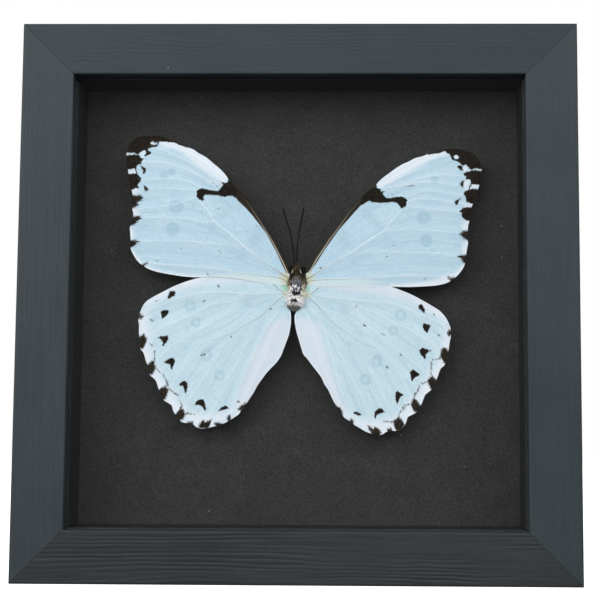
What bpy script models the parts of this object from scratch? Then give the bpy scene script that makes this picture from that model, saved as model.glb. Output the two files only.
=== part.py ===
"""Framed butterfly specimen: a mitred shadow-box frame with a spread butterfly behind glass.

Metres, +Z up. The origin is the bottom centre of the whole part, the glass faces -Y, and the frame
stands on its bottom rail. Depths are measured from the front faces of the rails towards the wall.
"""

import math

import bmesh
import bpy
from mathutils import Matrix, Vector

MM = 0.001

# Frame
FRAME_SIDE = 178.0 * MM
FRAME_DEPTH = 30.0 * MM
BACK_CLEARANCE = 3.0 * MM          # how far the bumpers stand behind the rails
RAIL_WIDTH = 16.67 * MM
RABBET_WALL = 12.3 * MM            # rail width left beside the rabbet
LIP_DEPTH = 3.4 * MM
OUTER_ROUND = 0.8 * MM
INNER_ROUND = 1.0 * MM
BACK_CHAMFER = 0.8 * MM
MITRE_GAP = 0.2 * MM
GAP = 0.3 * MM                     # between pieces that rest on each other

# The stack in the rabbet, front to back
GLASS_THICK = 2.0 * MM
SPACER_DEPTH = 14.0 * MM
SPACER_THICK = 4.46 * MM
MOUNT_THICK = 1.4 * MM
BACKING_THICK = 2.8 * MM

# Small hardware
POINT_THICK = 0.6 * MM
POINT_WIDTH = 6.0 * MM
POINT_LENGTH = 14.0 * MM
POINT_SUNK = 5.0 * MM
POINT_SPACING = 80.0 * MM
HANGER_LENGTH = 45.0 * MM
HANGER_HEIGHT = 10.0 * MM
HANGER_THICK = 1.0 * MM
HANGER_TEETH = 9
TOOTH_DEPTH = 1.6 * MM
NAIL_SPACING = 37.0 * MM
NAIL_RADIUS = 0.8 * MM
NAIL_LENGTH = 8.0 * MM
NAIL_HEAD_RADIUS = 2.0 * MM
NAIL_HEAD_THICK = 0.8 * MM
BUMPER_RADIUS = 5.0 * MM

# Butterfly
WING_DEPTH = 13.5 * MM             # middle of the wings, behind the rail fronts
WING_THICK = 0.4 * MM
BODY_X = -0.65 * MM
BODY_Z = FRAME_SIDE / 2 + 5.1 * MM
BODY_LEAN = math.radians(3.3)      # the body leans this much towards +X at the head
THORAX_HALF = (2.9 * MM, 3.2 * MM, 4.9 * MM)
HEAD_HALF = (1.9 * MM, 1.6 * MM, 1.35 * MM)
EYE_RADIUS = 1.15 * MM
EYE_OFFSET = 1.75 * MM
ABDOMEN_HALF = (2.1 * MM, 1.3 * MM, 1.2 * MM)
ABDOMEN_AHEAD = 1.7                # mm, so that it lies over the hindwings
ANTENNA_RADIUS = 0.16 * MM
CLUB_SWELL = 1.5                   # how much thicker the antenna's tip is

FRONT = -(FRAME_DEPTH + BACK_CLEARANCE) / 2
STACK_HALF = FRAME_SIDE / 2 - RABBET_WALL - GAP
GLASS_FRONT = LIP_DEPTH + GAP
SPACER_FRONT = GLASS_FRONT + GLASS_THICK + GAP
MOUNT_FRONT = SPACER_FRONT + SPACER_DEPTH + GAP
BACKING_FRONT = MOUNT_FRONT + MOUNT_THICK + GAP
POINT_FRONT = BACKING_FRONT + BACKING_THICK + GAP

# Wing outlines in mm from the middle of the thorax, X to the right and Z up, from the base round
# the leading edge, the outer margin and the trailing edge.
FOREWING_LEFT = [
    (-3.2, 4.0), (-6.0, 10.5), (-10.6, 18.9), (-15.2, 26.7), (-19.7, 32.1), (-22.8, 35.1), (-25.2, 38.3),
    (-30.3, 42.6), (-37.3, 46.4), (-43.6, 49.2), (-48.0, 50.0), (-52.2, 49.8), (-55.2, 47.9),
    (-56.6, 44.0), (-56.4, 40.0), (-55.4, 34.5), (-54.3, 29.5), (-54.1, 24.5), (-55.0, 19.4),
    (-54.6, 13.0), (-52.6, 8.8), (-48.9, 5.9), (-44.4, 4.6), (-34.0, 3.1), (-20.0, 2.7), (-10.0, 1.2), (-3.3, 0.7),
]
FOREWING_RIGHT = [
    (3.1, 4.4), (6.1, 9.5), (10.0, 15.8), (16.9, 25.3), (21.3, 29.9), (25.4, 33.4), (28.0, 36.1),
    (34.7, 40.7), (41.2, 43.3), (46.6, 45.1), (51.1, 45.8), (55.9, 45.2), (58.5, 43.5), (59.8, 40.6),
    (59.9, 38.2), (59.2, 33.6), (57.6, 28.3), (56.4, 23.8), (55.4, 18.5), (55.4, 14.5), (54.5, 7.8),
    (52.6, 4.6), (49.4, 1.9), (44.8, 0.6), (35.0, 0.1), (15.0, 0.3), (3.3, 0.6),
]
HINDWING_LEFT = [
    (-3.4, 2.0), (-12.0, 4.4), (-20.0, 4.9), (-26.0, 4.2), (-32.0, 2.9), (-40.1, 0.2), (-47.3, -3.5), (-50.7, -7.0),
    (-51.8, -10.9), (-51.0, -18.3), (-49.2, -23.5), (-47.6, -28.8), (-44.6, -33.4), (-42.8, -36.9),
    (-39.9, -39.8), (-37.3, -43.6), (-33.3, -44.7), (-30.3, -46.0), (-25.7, -45.0), (-20.2, -42.4),
    (-16.1, -37.6), (-11.2, -30.0), (-6.8, -24.8), (-4.4, -20.3), (-2.5, -15.7), (-1.9, -9.0),
    (-3.6, -6.4),
]
HINDWING_RIGHT = [
    (3.4, 1.6), (12.0, 3.0), (20.0, 2.8), (26.0, 1.7), (33.2, -0.8), (39.9, -3.8), (46.4, -7.7), (49.0, -11.2),
    (49.9, -15.2), (49.0, -20.8), (47.6, -25.3), (44.9, -30.6), (43.6, -33.0), (40.4, -37.8),
    (38.5, -40.4), (35.5, -43.4), (34.0, -45.9), (28.9, -46.8), (25.7, -47.6), (20.2, -45.4),
    (14.8, -41.5), (11.0, -35.0), (6.4, -27.2), (2.1, -21.8), (-0.5, -14.4), (-1.1, -9.5), (1.0, -7.4),
    (3.2, -4.6),
]
# Antenna routes in the same frame; the third number is mm in front of the wings.
ANTENNA_LEFT = [(-0.75, 7.5, 0.4), (-1.15, 10.0, 0.8), (-1.6, 13.4, 1.1), (-2.35, 17.5, 1.2),
                (-3.65, 21.8, 1.2), (-4.95, 25.7, 1.0)]
ANTENNA_RIGHT = [(-0.15, 7.5, 0.4), (-0.15, 10.6, 0.8), (0.0, 14.0, 1.1), (0.55, 18.0, 1.2),
                 (1.3, 22.4, 1.2), (2.05, 26.3, 1.0)]


def material(name, colour, roughness, metallic=0.0):
    mat = bpy.data.materials.new(name)
    mat.use_nodes = True
    shader = mat.node_tree.nodes["Principled BSDF"]
    shader.inputs["Base Color"].default_value = (*colour, 1.0)
    shader.inputs["Roughness"].default_value = roughness
    shader.inputs["Metallic"].default_value = metallic
    return mat


def add_object(name, bm, mat):
    """Put a bmesh into the scene as a named object with one material."""
    mesh = bpy.data.meshes.new(name)
    bm.to_mesh(mesh)
    bm.free()
    mesh.materials.append(mat)
    obj = bpy.data.objects.new(name, mesh)
    bpy.context.collection.objects.link(obj)
    return obj


def extrude_outline(outline, direction):
    """A closed prism from a flat loop of points, swept along a vector."""
    bm = bmesh.new()
    base = bm.faces.new([bm.verts.new(p) for p in outline])
    grown = bmesh.ops.extrude_face_region(bm, geom=[base])
    moved = [v for v in grown["geom"] if isinstance(v, bmesh.types.BMVert)]
    bmesh.ops.translate(bm, verts=moved, vec=direction)
    bmesh.ops.recalc_face_normals(bm, faces=bm.faces)
    return bm


def box(size, centre):
    """A box from its (x, y, z) size and its centre."""
    bm = bmesh.new()
    place = Matrix.Translation(centre) @ Matrix.Diagonal((*size, 1.0))
    bmesh.ops.create_cube(bm, size=1.0, matrix=place)
    return bm


def stack_box(name, width, height, depth_from, thick, centre_x, centre_z, mat):
    """A board or strip in the rabbet, placed by its depth behind the rail fronts."""
    centre = Vector((centre_x, FRONT + depth_from + thick / 2, centre_z))
    return add_object(name, box((width, thick, height), centre), mat)


def arc(centre, radius, start, end, steps):
    """Points of an arc in degrees, both ends included."""
    points = []
    for i in range(steps + 1):
        a = math.radians(start + (end - start) * i / steps)
        points.append((centre[0] + radius * math.cos(a), centre[1] + radius * math.sin(a)))
    return points


def rail_profile():
    """The rail's L section as (in from the outer edge, back from the front) points."""
    outer = arc((OUTER_ROUND, OUTER_ROUND), OUTER_ROUND, 180, 270, 4)
    inner = arc((RAIL_WIDTH - INNER_ROUND, INNER_ROUND), INNER_ROUND, 270, 360, 4)
    rest = [
        (RAIL_WIDTH, LIP_DEPTH),
        (RABBET_WALL, LIP_DEPTH),
        (RABBET_WALL, FRAME_DEPTH),
        (BACK_CHAMFER, FRAME_DEPTH),
        (0.0, FRAME_DEPTH - BACK_CHAMFER),
    ]
    return outer + inner + rest


def rail(name, turns, mat):
    """One mitred rail; turns counts quarter turns about the frame's middle from the top rail."""
    half = FRAME_SIDE / 2
    shorten = MITRE_GAP / math.sqrt(2)
    bm = bmesh.new()
    loops = []
    for side in (-1, 1):
        loop = []
        for inset, depth in rail_profile():
            x = side * (half - inset - shorten)
            loop.append(bm.verts.new((x, FRONT + depth, half - inset)))
        loops.append(loop)
    count = len(loops[0])
    for i in range(count):
        j = (i + 1) % count
        bm.faces.new((loops[0][i], loops[0][j], loops[1][j], loops[1][i]))
    bm.faces.new(loops[0])
    bm.faces.new(loops[1])
    bmesh.ops.recalc_face_normals(bm, faces=bm.faces)
    turn = Matrix.Rotation(turns * math.pi / 2, 4, "Y")
    bmesh.ops.transform(bm, verts=bm.verts, matrix=Matrix.Translation((0, 0, half)) @ turn)
    return add_object(name, bm, mat)


def around_frame(turns, x, y, z):
    """A point given for the top rail, turned about the frame's middle; z is from that middle."""
    turn = Matrix.Rotation(turns * math.pi / 2, 4, "Y")
    return Vector((0, 0, FRAME_SIDE / 2)) + turn @ Vector((x, y, z))


def cut(target, bm, name):
    """Cut a shape out of an object with a live Boolean."""
    cutter = add_object(name, bm, bpy.data.materials["hardware"])
    cutter.hide_render = True
    cutter.display_type = "WIRE"
    modifier = target.modifiers.new(name, "BOOLEAN")
    modifier.operation = "DIFFERENCE"
    modifier.object = cutter


def framers_point(number, rail_object, turns, along, mat):
    """A flat steel point: half sunk in the rail, half lying on the back of the backing board."""
    wall = FRAME_SIDE / 2 - RABBET_WALL
    half = POINT_WIDTH / 2
    y = FRONT + POINT_FRONT
    tip = wall + POINT_SUNK
    shoulder = tip - half
    tail = tip - POINT_LENGTH
    flat = [(-half, tail), (half, tail), (half, shoulder), (0, tip), (-half, shoulder)]
    outline = [around_frame(turns, along + x, y, z) for x, z in flat]
    bm = extrude_outline(outline, Vector((0, POINT_THICK, 0)))
    add_object(f"framers_point_{number}", bm, mat)
    slot_low = wall - GAP
    slot_high = tip + GAP
    slot = [(-half - GAP, slot_low), (half + GAP, slot_low), (half + GAP, slot_high),
            (-half - GAP, slot_high)]
    slot_outline = [around_frame(turns, along + x, y - GAP, z) for x, z in slot]
    slot_shape = extrude_outline(slot_outline, Vector((0, POINT_THICK + 2 * GAP, 0)))
    cut(rail_object, slot_shape, f"slot_{number}")


def hanger_plate(mat):
    """A sawtooth hanger: a thin bar with a row of teeth along its lower edge and two nail holes."""
    middle = FRAME_SIDE - RABBET_WALL / 2 - BACK_CHAMFER / 2
    top = middle + HANGER_HEIGHT / 2
    low = middle - HANGER_HEIGHT / 2
    half = HANGER_LENGTH / 2
    ear = 5.0 * MM
    step = (HANGER_LENGTH - 2 * ear) / HANGER_TEETH
    y = FRONT + FRAME_DEPTH + GAP
    outline = [(half, low), (half, top), (-half, top), (-half, low), (-half + ear, low)]
    for i in range(HANGER_TEETH):
        left = -half + ear + i * step
        outline += [(left + step / 2, low + TOOTH_DEPTH), (left + step, low)]
    bm = extrude_outline([Vector((x, y, z)) for x, z in outline], Vector((0, HANGER_THICK, 0)))
    plate = add_object("hanger", bm, mat)
    for side in (-1, 1):
        hole = rod(NAIL_RADIUS + GAP, 3 * HANGER_THICK, (side * NAIL_SPACING / 2, y, middle), 16)
        cut(plate, hole, f"plate_hole_{side}")
    return middle


def rod(radius, length, centre, sides):
    """A round bar along Y."""
    bm = bmesh.new()
    place = Matrix.Translation(centre) @ Matrix.Rotation(math.pi / 2, 4, "X")
    bmesh.ops.create_cone(bm, cap_ends=True, segments=sides, radius1=radius, radius2=radius,
                          depth=length, matrix=place)
    return bm


def nail(name, x, z, rail_object, mat):
    """A hanger nail turned as one piece: shank in the rail, flat head behind the plate."""
    back = FRONT + FRAME_DEPTH
    head_front = back + 2 * GAP + HANGER_THICK
    point = back - NAIL_LENGTH
    profile = [
        (0.0, point), (NAIL_RADIUS, point + 2 * NAIL_RADIUS), (NAIL_RADIUS, head_front),
        (NAIL_HEAD_RADIUS, head_front), (NAIL_HEAD_RADIUS, head_front + NAIL_HEAD_THICK),
        (0.0, head_front + NAIL_HEAD_THICK),
    ]
    bm = turned(profile, Vector((x, 0, z)), 14)
    add_object(name, bm, mat)
    depth = NAIL_LENGTH + GAP
    hole = rod(NAIL_RADIUS + GAP, 2 * depth, (x, back, z), 14)
    cut(rail_object, hole, name + "_hole")


def turned(profile, centre, sides):
    """A closed solid of revolution about an axis along Y, from (radius, y) points."""
    bm = bmesh.new()
    verts = [bm.verts.new(centre + Vector((r, y, 0))) for r, y in profile]
    edges = [bm.edges.new(pair) for pair in zip(verts, verts[1:])]
    bmesh.ops.spin(bm, geom=verts + edges, cent=centre, axis=(0, 1, 0), angle=2 * math.pi,
                   steps=sides, use_duplicate=False)
    bmesh.ops.remove_doubles(bm, verts=bm.verts, dist=0.01 * MM)
    bmesh.ops.recalc_face_normals(bm, faces=bm.faces)
    return bm


def body_point(x, z, ahead=0.0):
    """A point on the butterfly, in mm from the middle of the thorax; ahead is towards the glass."""
    return Vector((BODY_X + x * MM, FRONT + WING_DEPTH - ahead * MM, BODY_Z + z * MM))


def wing(name, outline, layer, mat):
    """A thin flat wing; layer 0 is the front pair and layer 1 the pair behind it."""
    lift = WING_THICK + GAP
    front = -lift if layer == 0 else 0.0
    loop = [body_point(x, z) + Vector((0, front, 0)) for x, z in outline]
    return add_object(name, extrude_outline(loop, Vector((0, WING_THICK, 0))), mat)


def lean():
    return Matrix.Rotation(BODY_LEAN, 4, "Y")


def egg(half, centre, across, along):
    """A round solid stretched to three half sizes, leaning with the body."""
    bm = bmesh.new()
    place = Matrix.Translation(centre) @ lean() @ Matrix.Diagonal((*half, 1.0))
    bmesh.ops.create_uvsphere(bm, u_segments=across, v_segments=along, radius=1.0, matrix=place)
    return bm


def butterfly_head(mat):
    """The head's skull with both eyes joined to it."""
    centre = body_point(-0.35, 5.75)
    skull = add_object("head", egg(HEAD_HALF, centre, 20, 12), mat)
    for side in (-1, 1):
        offset = lean() @ Vector((side * EYE_OFFSET, -0.3 * MM, 0.1 * MM))
        eye = bmesh.new()
        bmesh.ops.create_uvsphere(eye, u_segments=16, v_segments=10, radius=EYE_RADIUS,
                                  matrix=Matrix.Translation(centre + offset))
        ball = add_object(f"eye_shape_{side}", eye, mat)
        ball.hide_render = True
        ball.display_type = "WIRE"
        join = skull.modifiers.new("eye", "BOOLEAN")
        join.operation = "UNION"
        join.object = ball


def antenna(name, route, mat):
    """A thin tapering feeler that swells a little towards its tip."""
    curve = bpy.data.curves.new(name, "CURVE")
    curve.dimensions = "3D"
    curve.bevel_depth = ANTENNA_RADIUS
    curve.bevel_resolution = 2
    curve.use_fill_caps = True
    spline = curve.splines.new("POLY")
    spline.points.add(len(route) - 1)
    for i, (point, place) in enumerate(zip(spline.points, route)):
        point.co = (*body_point(*place), 1.0)
        along = i / (len(route) - 1)
        point.radius = 1.0 + (CLUB_SWELL - 1.0) * along ** 4
    curve.materials.append(mat)
    obj = bpy.data.objects.new(name, curve)
    bpy.context.collection.objects.link(obj)


def build_frame():
    paint = material("black_paint", (0.045, 0.05, 0.055), 0.45)
    clear = material("clear_glass", (0.9, 0.95, 0.95), 0.02)
    foam = material("foam_board", (0.03, 0.03, 0.032), 0.8)
    board = material("black_board", (0.028, 0.028, 0.026), 0.85)
    hardboard = material("hardboard", (0.18, 0.1, 0.055), 0.7)
    steel = material("hardware", (0.5, 0.5, 0.48), 0.35, 1.0)
    rubber = material("bumper_pad", (0.02, 0.02, 0.02), 0.7)

    rails = [rail(name, turns, paint) for turns, name in
             enumerate(("rail_top", "rail_right", "rail_bottom", "rail_left"))]

    middle = FRAME_SIDE / 2
    full = 2 * STACK_HALF
    stack_box("glass", full, full, GLASS_FRONT, GLASS_THICK, 0, middle, clear)
    stack_box("mount_board", full, full, MOUNT_FRONT, MOUNT_THICK, 0, middle, board)
    stack_box("backing_board", full, full, BACKING_FRONT, BACKING_THICK, 0, middle, hardboard)
    reach = STACK_HALF - SPACER_THICK / 2
    short = full - 2 * SPACER_THICK - 2 * GAP
    for name, side in (("spacer_top", 1), ("spacer_bottom", -1)):
        stack_box(name, full, SPACER_THICK, SPACER_FRONT, SPACER_DEPTH, 0, middle + side * reach, foam)
    for name, side in (("spacer_left", -1), ("spacer_right", 1)):
        stack_box(name, SPACER_THICK, short, SPACER_FRONT, SPACER_DEPTH, side * reach, middle, foam)

    number = 0
    for turns, rail_object in enumerate(rails):
        for side in (-1, 1):
            number += 1
            framers_point(number, rail_object, turns, side * POINT_SPACING / 2, steel)

    nail_height = hanger_plate(steel)
    nail("hanger_nail_left", -NAIL_SPACING / 2, nail_height, rails[0], steel)
    nail("hanger_nail_right", NAIL_SPACING / 2, nail_height, rails[0], steel)

    back = FRONT + FRAME_DEPTH + GAP
    thick = BACK_CLEARANCE - GAP
    profile = [(0.0, back), (BUMPER_RADIUS, back), (BUMPER_RADIUS, back + 0.7 * thick),
               (0.85 * BUMPER_RADIUS, back + thick), (0.0, back + thick)]
    inset = RABBET_WALL / 2 + 0.4 * MM
    for name, side in (("bumper_left", -1), ("bumper_right", 1)):
        place = Vector((side * (FRAME_SIDE / 2 - inset), 0, inset))
        add_object(name, turned(profile, place, 32), rubber)


def build_butterfly():
    fore = material("forewing", (0.5, 0.66, 0.78), 0.55)
    hind = material("hindwing", (0.53, 0.68, 0.78), 0.55)
    hair = material("body_hair", (0.16, 0.15, 0.14), 0.9)
    dark = material("dark_shell", (0.03, 0.02, 0.015), 0.5)
    pad = material("pad_foam", (0.02, 0.02, 0.02), 0.9)

    wing("forewing_left", FOREWING_LEFT, 0, fore)
    wing("forewing_right", FOREWING_RIGHT, 0, fore)
    wing("hindwing_left", HINDWING_LEFT, 1, hind)
    wing("hindwing_right", HINDWING_RIGHT, 1, hind)

    add_object("thorax", egg(THORAX_HALF, body_point(-0.45, -0.75), 28, 16), hair)
    butterfly_head(dark)
    add_object("abdomen", egg(ABDOMEN_HALF, body_point(-0.95, -7.2, ABDOMEN_AHEAD), 20, 12), hair)
    antenna("antenna_left", ANTENNA_LEFT, dark)
    antenna("antenna_right", ANTENNA_RIGHT, dark)

    pad_front = WING_DEPTH + THORAX_HALF[1] + GAP
    pad_thick = MOUNT_FRONT - GAP - pad_front
    stack_box("mounting_pad", 4.5 * MM, 7.0 * MM, pad_front, pad_thick, BODY_X - 0.45 * MM,
              BODY_Z - 0.75 * MM, pad)


for old in list(bpy.data.objects):
    bpy.data.objects.remove(old, do_unlink=True)
build_frame()
build_butterfly()
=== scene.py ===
import math

import bpy
import numpy as np
from mathutils import Matrix, Vector


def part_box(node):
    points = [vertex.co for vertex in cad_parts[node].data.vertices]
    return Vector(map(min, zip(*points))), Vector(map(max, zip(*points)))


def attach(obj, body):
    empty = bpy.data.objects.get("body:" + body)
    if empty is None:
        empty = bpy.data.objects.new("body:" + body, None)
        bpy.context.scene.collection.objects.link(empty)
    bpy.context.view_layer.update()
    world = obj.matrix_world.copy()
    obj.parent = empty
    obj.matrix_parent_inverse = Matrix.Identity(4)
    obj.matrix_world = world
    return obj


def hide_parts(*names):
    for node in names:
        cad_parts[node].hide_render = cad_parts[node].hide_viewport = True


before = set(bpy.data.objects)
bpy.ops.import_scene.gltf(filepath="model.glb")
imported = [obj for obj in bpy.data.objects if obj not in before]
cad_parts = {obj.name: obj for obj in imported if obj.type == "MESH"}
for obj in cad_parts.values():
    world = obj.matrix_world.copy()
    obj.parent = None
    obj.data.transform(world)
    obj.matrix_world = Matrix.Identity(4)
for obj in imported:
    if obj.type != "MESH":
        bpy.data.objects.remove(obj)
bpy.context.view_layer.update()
scene = bpy.context.scene
mm = 0.001
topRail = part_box("rail_top")
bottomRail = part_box("rail_bottom")
frameMiddle = (topRail[1].z + bottomRail[0].z) / 2
railFront = topRail[0].y
railBack = topRail[1].y
forewingDepth = sum(corner.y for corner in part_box("forewing_left")) / 2
hindwingDepth = sum(corner.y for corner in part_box("hindwing_left")) / 2
bodyPlace = {"x": -0.65 * mm, "z": frameMiddle + 5.1 * mm}   # the middle of the thorax
print("frame loaded,", len(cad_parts), "nodes")


# small helpers

def tint(red, green, blue):
    # a colour as a screen shows it, 0 to 255, made linear for a shader
    linear = [((c / 255 + 0.055) / 1.055) ** 2.4 if c > 10 else c / 3294.6 for c in (red, green, blue)]
    return (*linear, 1.0)


def deselectAll():
    bpy.ops.object.select_all(action="DESELECT")


def pick(piece):
    deselectAll()
    piece.select_set(True)
    bpy.context.view_layer.objects.active = piece


def softNoise(across, along, seed):
    # smooth random heights from 0 to 1, one new value for each whole step of across and along
    table = np.random.default_rng(seed).random((64, 64))
    a0 = np.floor(across).astype(int)
    b0 = np.floor(along).astype(int)
    fa = across - a0
    fb = along - b0
    fa = fa * fa * (3 - 2 * fa)
    fb = fb * fb * (3 - 2 * fb)
    near = table[a0 % 64, b0 % 64] * (1 - fa) + table[(a0 + 1) % 64, b0 % 64] * fa
    far = table[a0 % 64, (b0 + 1) % 64] * (1 - fa) + table[(a0 + 1) % 64, (b0 + 1) % 64] * fa
    return near * (1 - fb) + far * fb


def smoothLine(points, count):
    # count places, evenly spaced, on a rounded line through the points
    p = np.array(points, float)
    ends = np.vstack([2 * p[0] - p[1], p, 2 * p[-1] - p[-2]])
    t = np.linspace(0, 1, 8, endpoint=False)[:, None]
    fine = []
    for a, b, c, d in zip(ends[:-3], ends[1:-2], ends[2:-1], ends[3:]):
        fine.append(0.5 * (2 * b + (c - a) * t + (2 * a - 5 * b + 4 * c - d) * t ** 2
                           + (3 * b - a - 3 * c + d) * t ** 3))
    fine = np.vstack(fine + [p[-1:]])
    step = np.concatenate([[0], np.cumsum(np.linalg.norm(np.diff(fine, axis=0), axis=1))])
    at = np.linspace(0, step[-1], count)
    return np.stack([np.interp(at, step, fine[:, k]) for k in range(fine.shape[1])], 1)


def segmentDistance(places, line):
    # how far each place is from a line of points
    best = np.full(len(places), 1e9)
    line = np.array(line, float)
    for a, b in zip(line[:-1], line[1:]):
        way = b - a
        t = np.clip((places - a) @ way / max(way @ way, 1e-12), 0, 1)
        best = np.minimum(best, np.linalg.norm(places - a - t[:, None] * way, axis=1))
    return best


def insideDistance(places, outline):
    # distance to a closed outline, above zero inside it
    loop = np.array(list(outline) + [outline[0]], float)
    inside = np.zeros(len(places), bool)
    for a, b in zip(loop[:-1], loop[1:]):
        crosses = (a[1] > places[:, 1]) != (b[1] > places[:, 1])
        rise = b[1] - a[1] if b[1] != a[1] else 1e-12
        inside ^= crosses & (places[:, 0] < (b[0] - a[0]) * (places[:, 1] - a[1]) / rise + a[0])
    return np.where(inside, 1, -1) * segmentDistance(places, loop)


def deepest(places, outlines):
    # how deep each place lies inside the outlines, far outside where there are none
    depths = [insideDistance(places, outline) for outline in outlines or []]
    return np.max(depths, axis=0) if depths else np.full(len(places), -9.0)


def layGrid(name, places, closed=False):
    # a grid primitive laid over places[row, column, xyz]; closed joins the last column to the first
    rows, columns = places.shape[:2]
    deselectAll()
    bpy.ops.mesh.primitive_grid_add(x_subdivisions=columns - 1, y_subdivisions=rows - 1, size=1)
    piece = bpy.context.object
    piece.name = name
    piece.data.name = name
    piece.data.vertices.foreach_set("co", places.reshape(-1).astype(np.float32))
    if closed:
        bpy.ops.object.mode_set(mode="EDIT")
        bpy.ops.mesh.select_all(action="SELECT")
        bpy.ops.mesh.remove_doubles(threshold=1e-6)
        bpy.ops.mesh.select_all(action="SELECT")
        bpy.ops.mesh.fill_holes(sides=0)
        bpy.ops.mesh.normals_make_consistent(inside=False)
        bpy.ops.object.mode_set(mode="OBJECT")
    piece.data.update()
    return piece


def tube(name, route, radii, sides, flatten=1.0):
    # a round rod along a route, with closed ends
    route = np.array(route, float)
    way = np.gradient(route, axis=0)
    way /= np.linalg.norm(way, axis=1)[:, None]
    side = np.cross(way, (0.0, 1.0, 0.0))
    side /= np.linalg.norm(side, axis=1)[:, None]
    up = np.cross(side, way)
    angle = np.linspace(0, 2 * math.pi, sides + 1)
    ring = np.cos(angle)[None, :, None] * side[:, None] + flatten * np.sin(angle)[None, :, None] * up[:, None]
    return layGrid(name, route[:, None] + np.array(radii)[:, None, None] * ring, closed=True)


def joinPieces(name, pieces):
    deselectAll()
    for piece in pieces:
        piece.select_set(True)
    bpy.context.view_layer.objects.active = pieces[0]
    bpy.ops.object.join()
    joined = bpy.context.object
    joined.name = name
    joined.data.name = name
    return joined


def paintPoints(piece, name, values):
    # a number for each vertex, which the piece's material reads
    layer = piece.data.attributes.new(name, "FLOAT", "POINT")
    layer.data.foreach_set("value", np.asarray(values, np.float32))


def finishPiece(piece, material, slot, *nodes):
    piece.data.materials.clear()
    piece.data.materials.append(material)
    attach(piece, "root")
    if nodes:
        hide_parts(*nodes)


# shader helpers

def put(tree, kind, inputs=None, **settings):
    node = tree.nodes.new("ShaderNode" + kind)
    for name, value in settings.items():
        setattr(node, name, value)
    for name, value in (inputs or {}).items():
        if isinstance(value, bpy.types.NodeSocket):
            tree.links.new(value, node.inputs[name])
        else:
            node.inputs[name].default_value = value
    return node


def calc(tree, operation, first, second=0.0, third=0.0):
    return put(tree, "Math", {0: first, 1: second, 2: third}, operation=operation).outputs[0]


def mixColour(tree, factor, first, second, mode="MIX"):
    node = put(tree, "Mix", {0: factor, 6: first, 7: second}, data_type="RGBA", blend_type=mode)
    return node.outputs[2]


def spread(tree, value, low, high, newLow=0.0, newHigh=1.0, smooth=True):
    kind = "SMOOTHSTEP" if smooth else "LINEAR"
    inputs = {0: value, 1: low, 2: high, 3: newLow, 4: newHigh}
    return put(tree, "MapRange", inputs, interpolation_type=kind).outputs[0]


def objectPlace(tree):
    return put(tree, "TexCoord").outputs["Object"]


def stretched(tree, place, scale):
    return put(tree, "Mapping", {"Vector": place, "Scale": scale}).outputs[0]


def cloudy(tree, place, scale, detail=2.0, roughness=0.5):
    inputs = {"Vector": place, "Scale": scale, "Detail": detail, "Roughness": roughness}
    return put(tree, "TexNoise", inputs).outputs[0]


def newGroup(name, inputs, outputs):
    tree = bpy.data.node_groups.new(name, "ShaderNodeTree")
    for socket, (kind, value) in inputs.items():
        made = tree.interface.new_socket(socket, in_out="INPUT", socket_type="NodeSocket" + kind)
        made.default_value = value
    for socket, kind in outputs.items():
        tree.interface.new_socket(socket, in_out="OUTPUT", socket_type="NodeSocket" + kind)
    return tree, tree.nodes.new("NodeGroupInput").outputs, tree.nodes.new("NodeGroupOutput").inputs


def useGroup(tree, group, **values):
    node = tree.nodes.new("ShaderNodeGroup")
    node.node_tree = group
    for name, value in values.items():
        if isinstance(value, bpy.types.NodeSocket):
            tree.links.new(value, node.inputs[name])
        else:
            node.inputs[name].default_value = value
    return node.outputs


def newMaterial(name, colour, roughness, height=None, bump=0.0, **constants):
    # a Principled surface: constants go straight on its sockets
    material = bpy.data.materials.new(name)
    material.use_nodes = True
    tree = material.node_tree
    shader = tree.nodes["Principled BSDF"]
    for socket, value in constants.items():
        shader.inputs[socket.replace("_", " ")].default_value = value
    built = colour(tree) if callable(colour) else {"Base Color": colour}
    for socket, value in {"Roughness": roughness, **built}.items():
        if socket == "Height":
            bumpNode = put(tree, "Bump", {"Height": value, "Distance": bump, "Strength": 1.0})
            tree.links.new(bumpNode.outputs[0], shader.inputs["Normal"])
        elif isinstance(value, bpy.types.NodeSocket):
            tree.links.new(value, shader.inputs[socket])
        else:
            shader.inputs[socket].default_value = value
    return material


# camera, lights and floor

cameraSettings = {
    "lens": 74.55,
    "shift": (-0.0696, 0.0203),
    "place": (20.26 * mm, railFront - 388.84 * mm, frameMiddle - 39.25 * mm),
    "tilt": 0.0900,     # looking up at the frame
    "turn": 0.0156,
    "roll": 0.0045,
}


def addCamera(settings):
    lens = bpy.data.cameras.new("camera")
    lens.lens = settings["lens"]
    lens.sensor_width = 36.0
    lens.shift_x, lens.shift_y = settings["shift"]
    lens.clip_start = 0.01
    camera = bpy.data.objects.new("camera", lens)
    scene.collection.objects.link(camera)
    facing = (Matrix.Rotation(math.radians(90), 4, "X") @ Matrix.Rotation(settings["roll"], 4, "Z")
              @ Matrix.Rotation(settings["turn"], 4, "Y") @ Matrix.Rotation(settings["tilt"], 4, "X"))
    camera.matrix_world = Matrix.Translation(settings["place"]) @ facing
    scene.camera = camera


lightSettings = {
    "softbox": {"place": (-0.18, -0.85, 0.72), "size": (1.3, 0.6), "power": 4.4},
    "front": {"place": (-0.10, -1.05, 0.34), "size": (1.0, 0.5), "power": 4.4, "mirrored": False},
    "leftFill": {"place": (-0.85, -0.75, 0.42), "size": (0.6, 0.7), "power": 4.4},
    "rightFill": {"place": (0.85, -0.80, 0.60), "size": (0.6, 0.7), "power": 3.8},
    "backFill": {"place": (0.15, 0.95, 0.75), "size": (0.9, 0.7), "power": 5.0},
}


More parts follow.
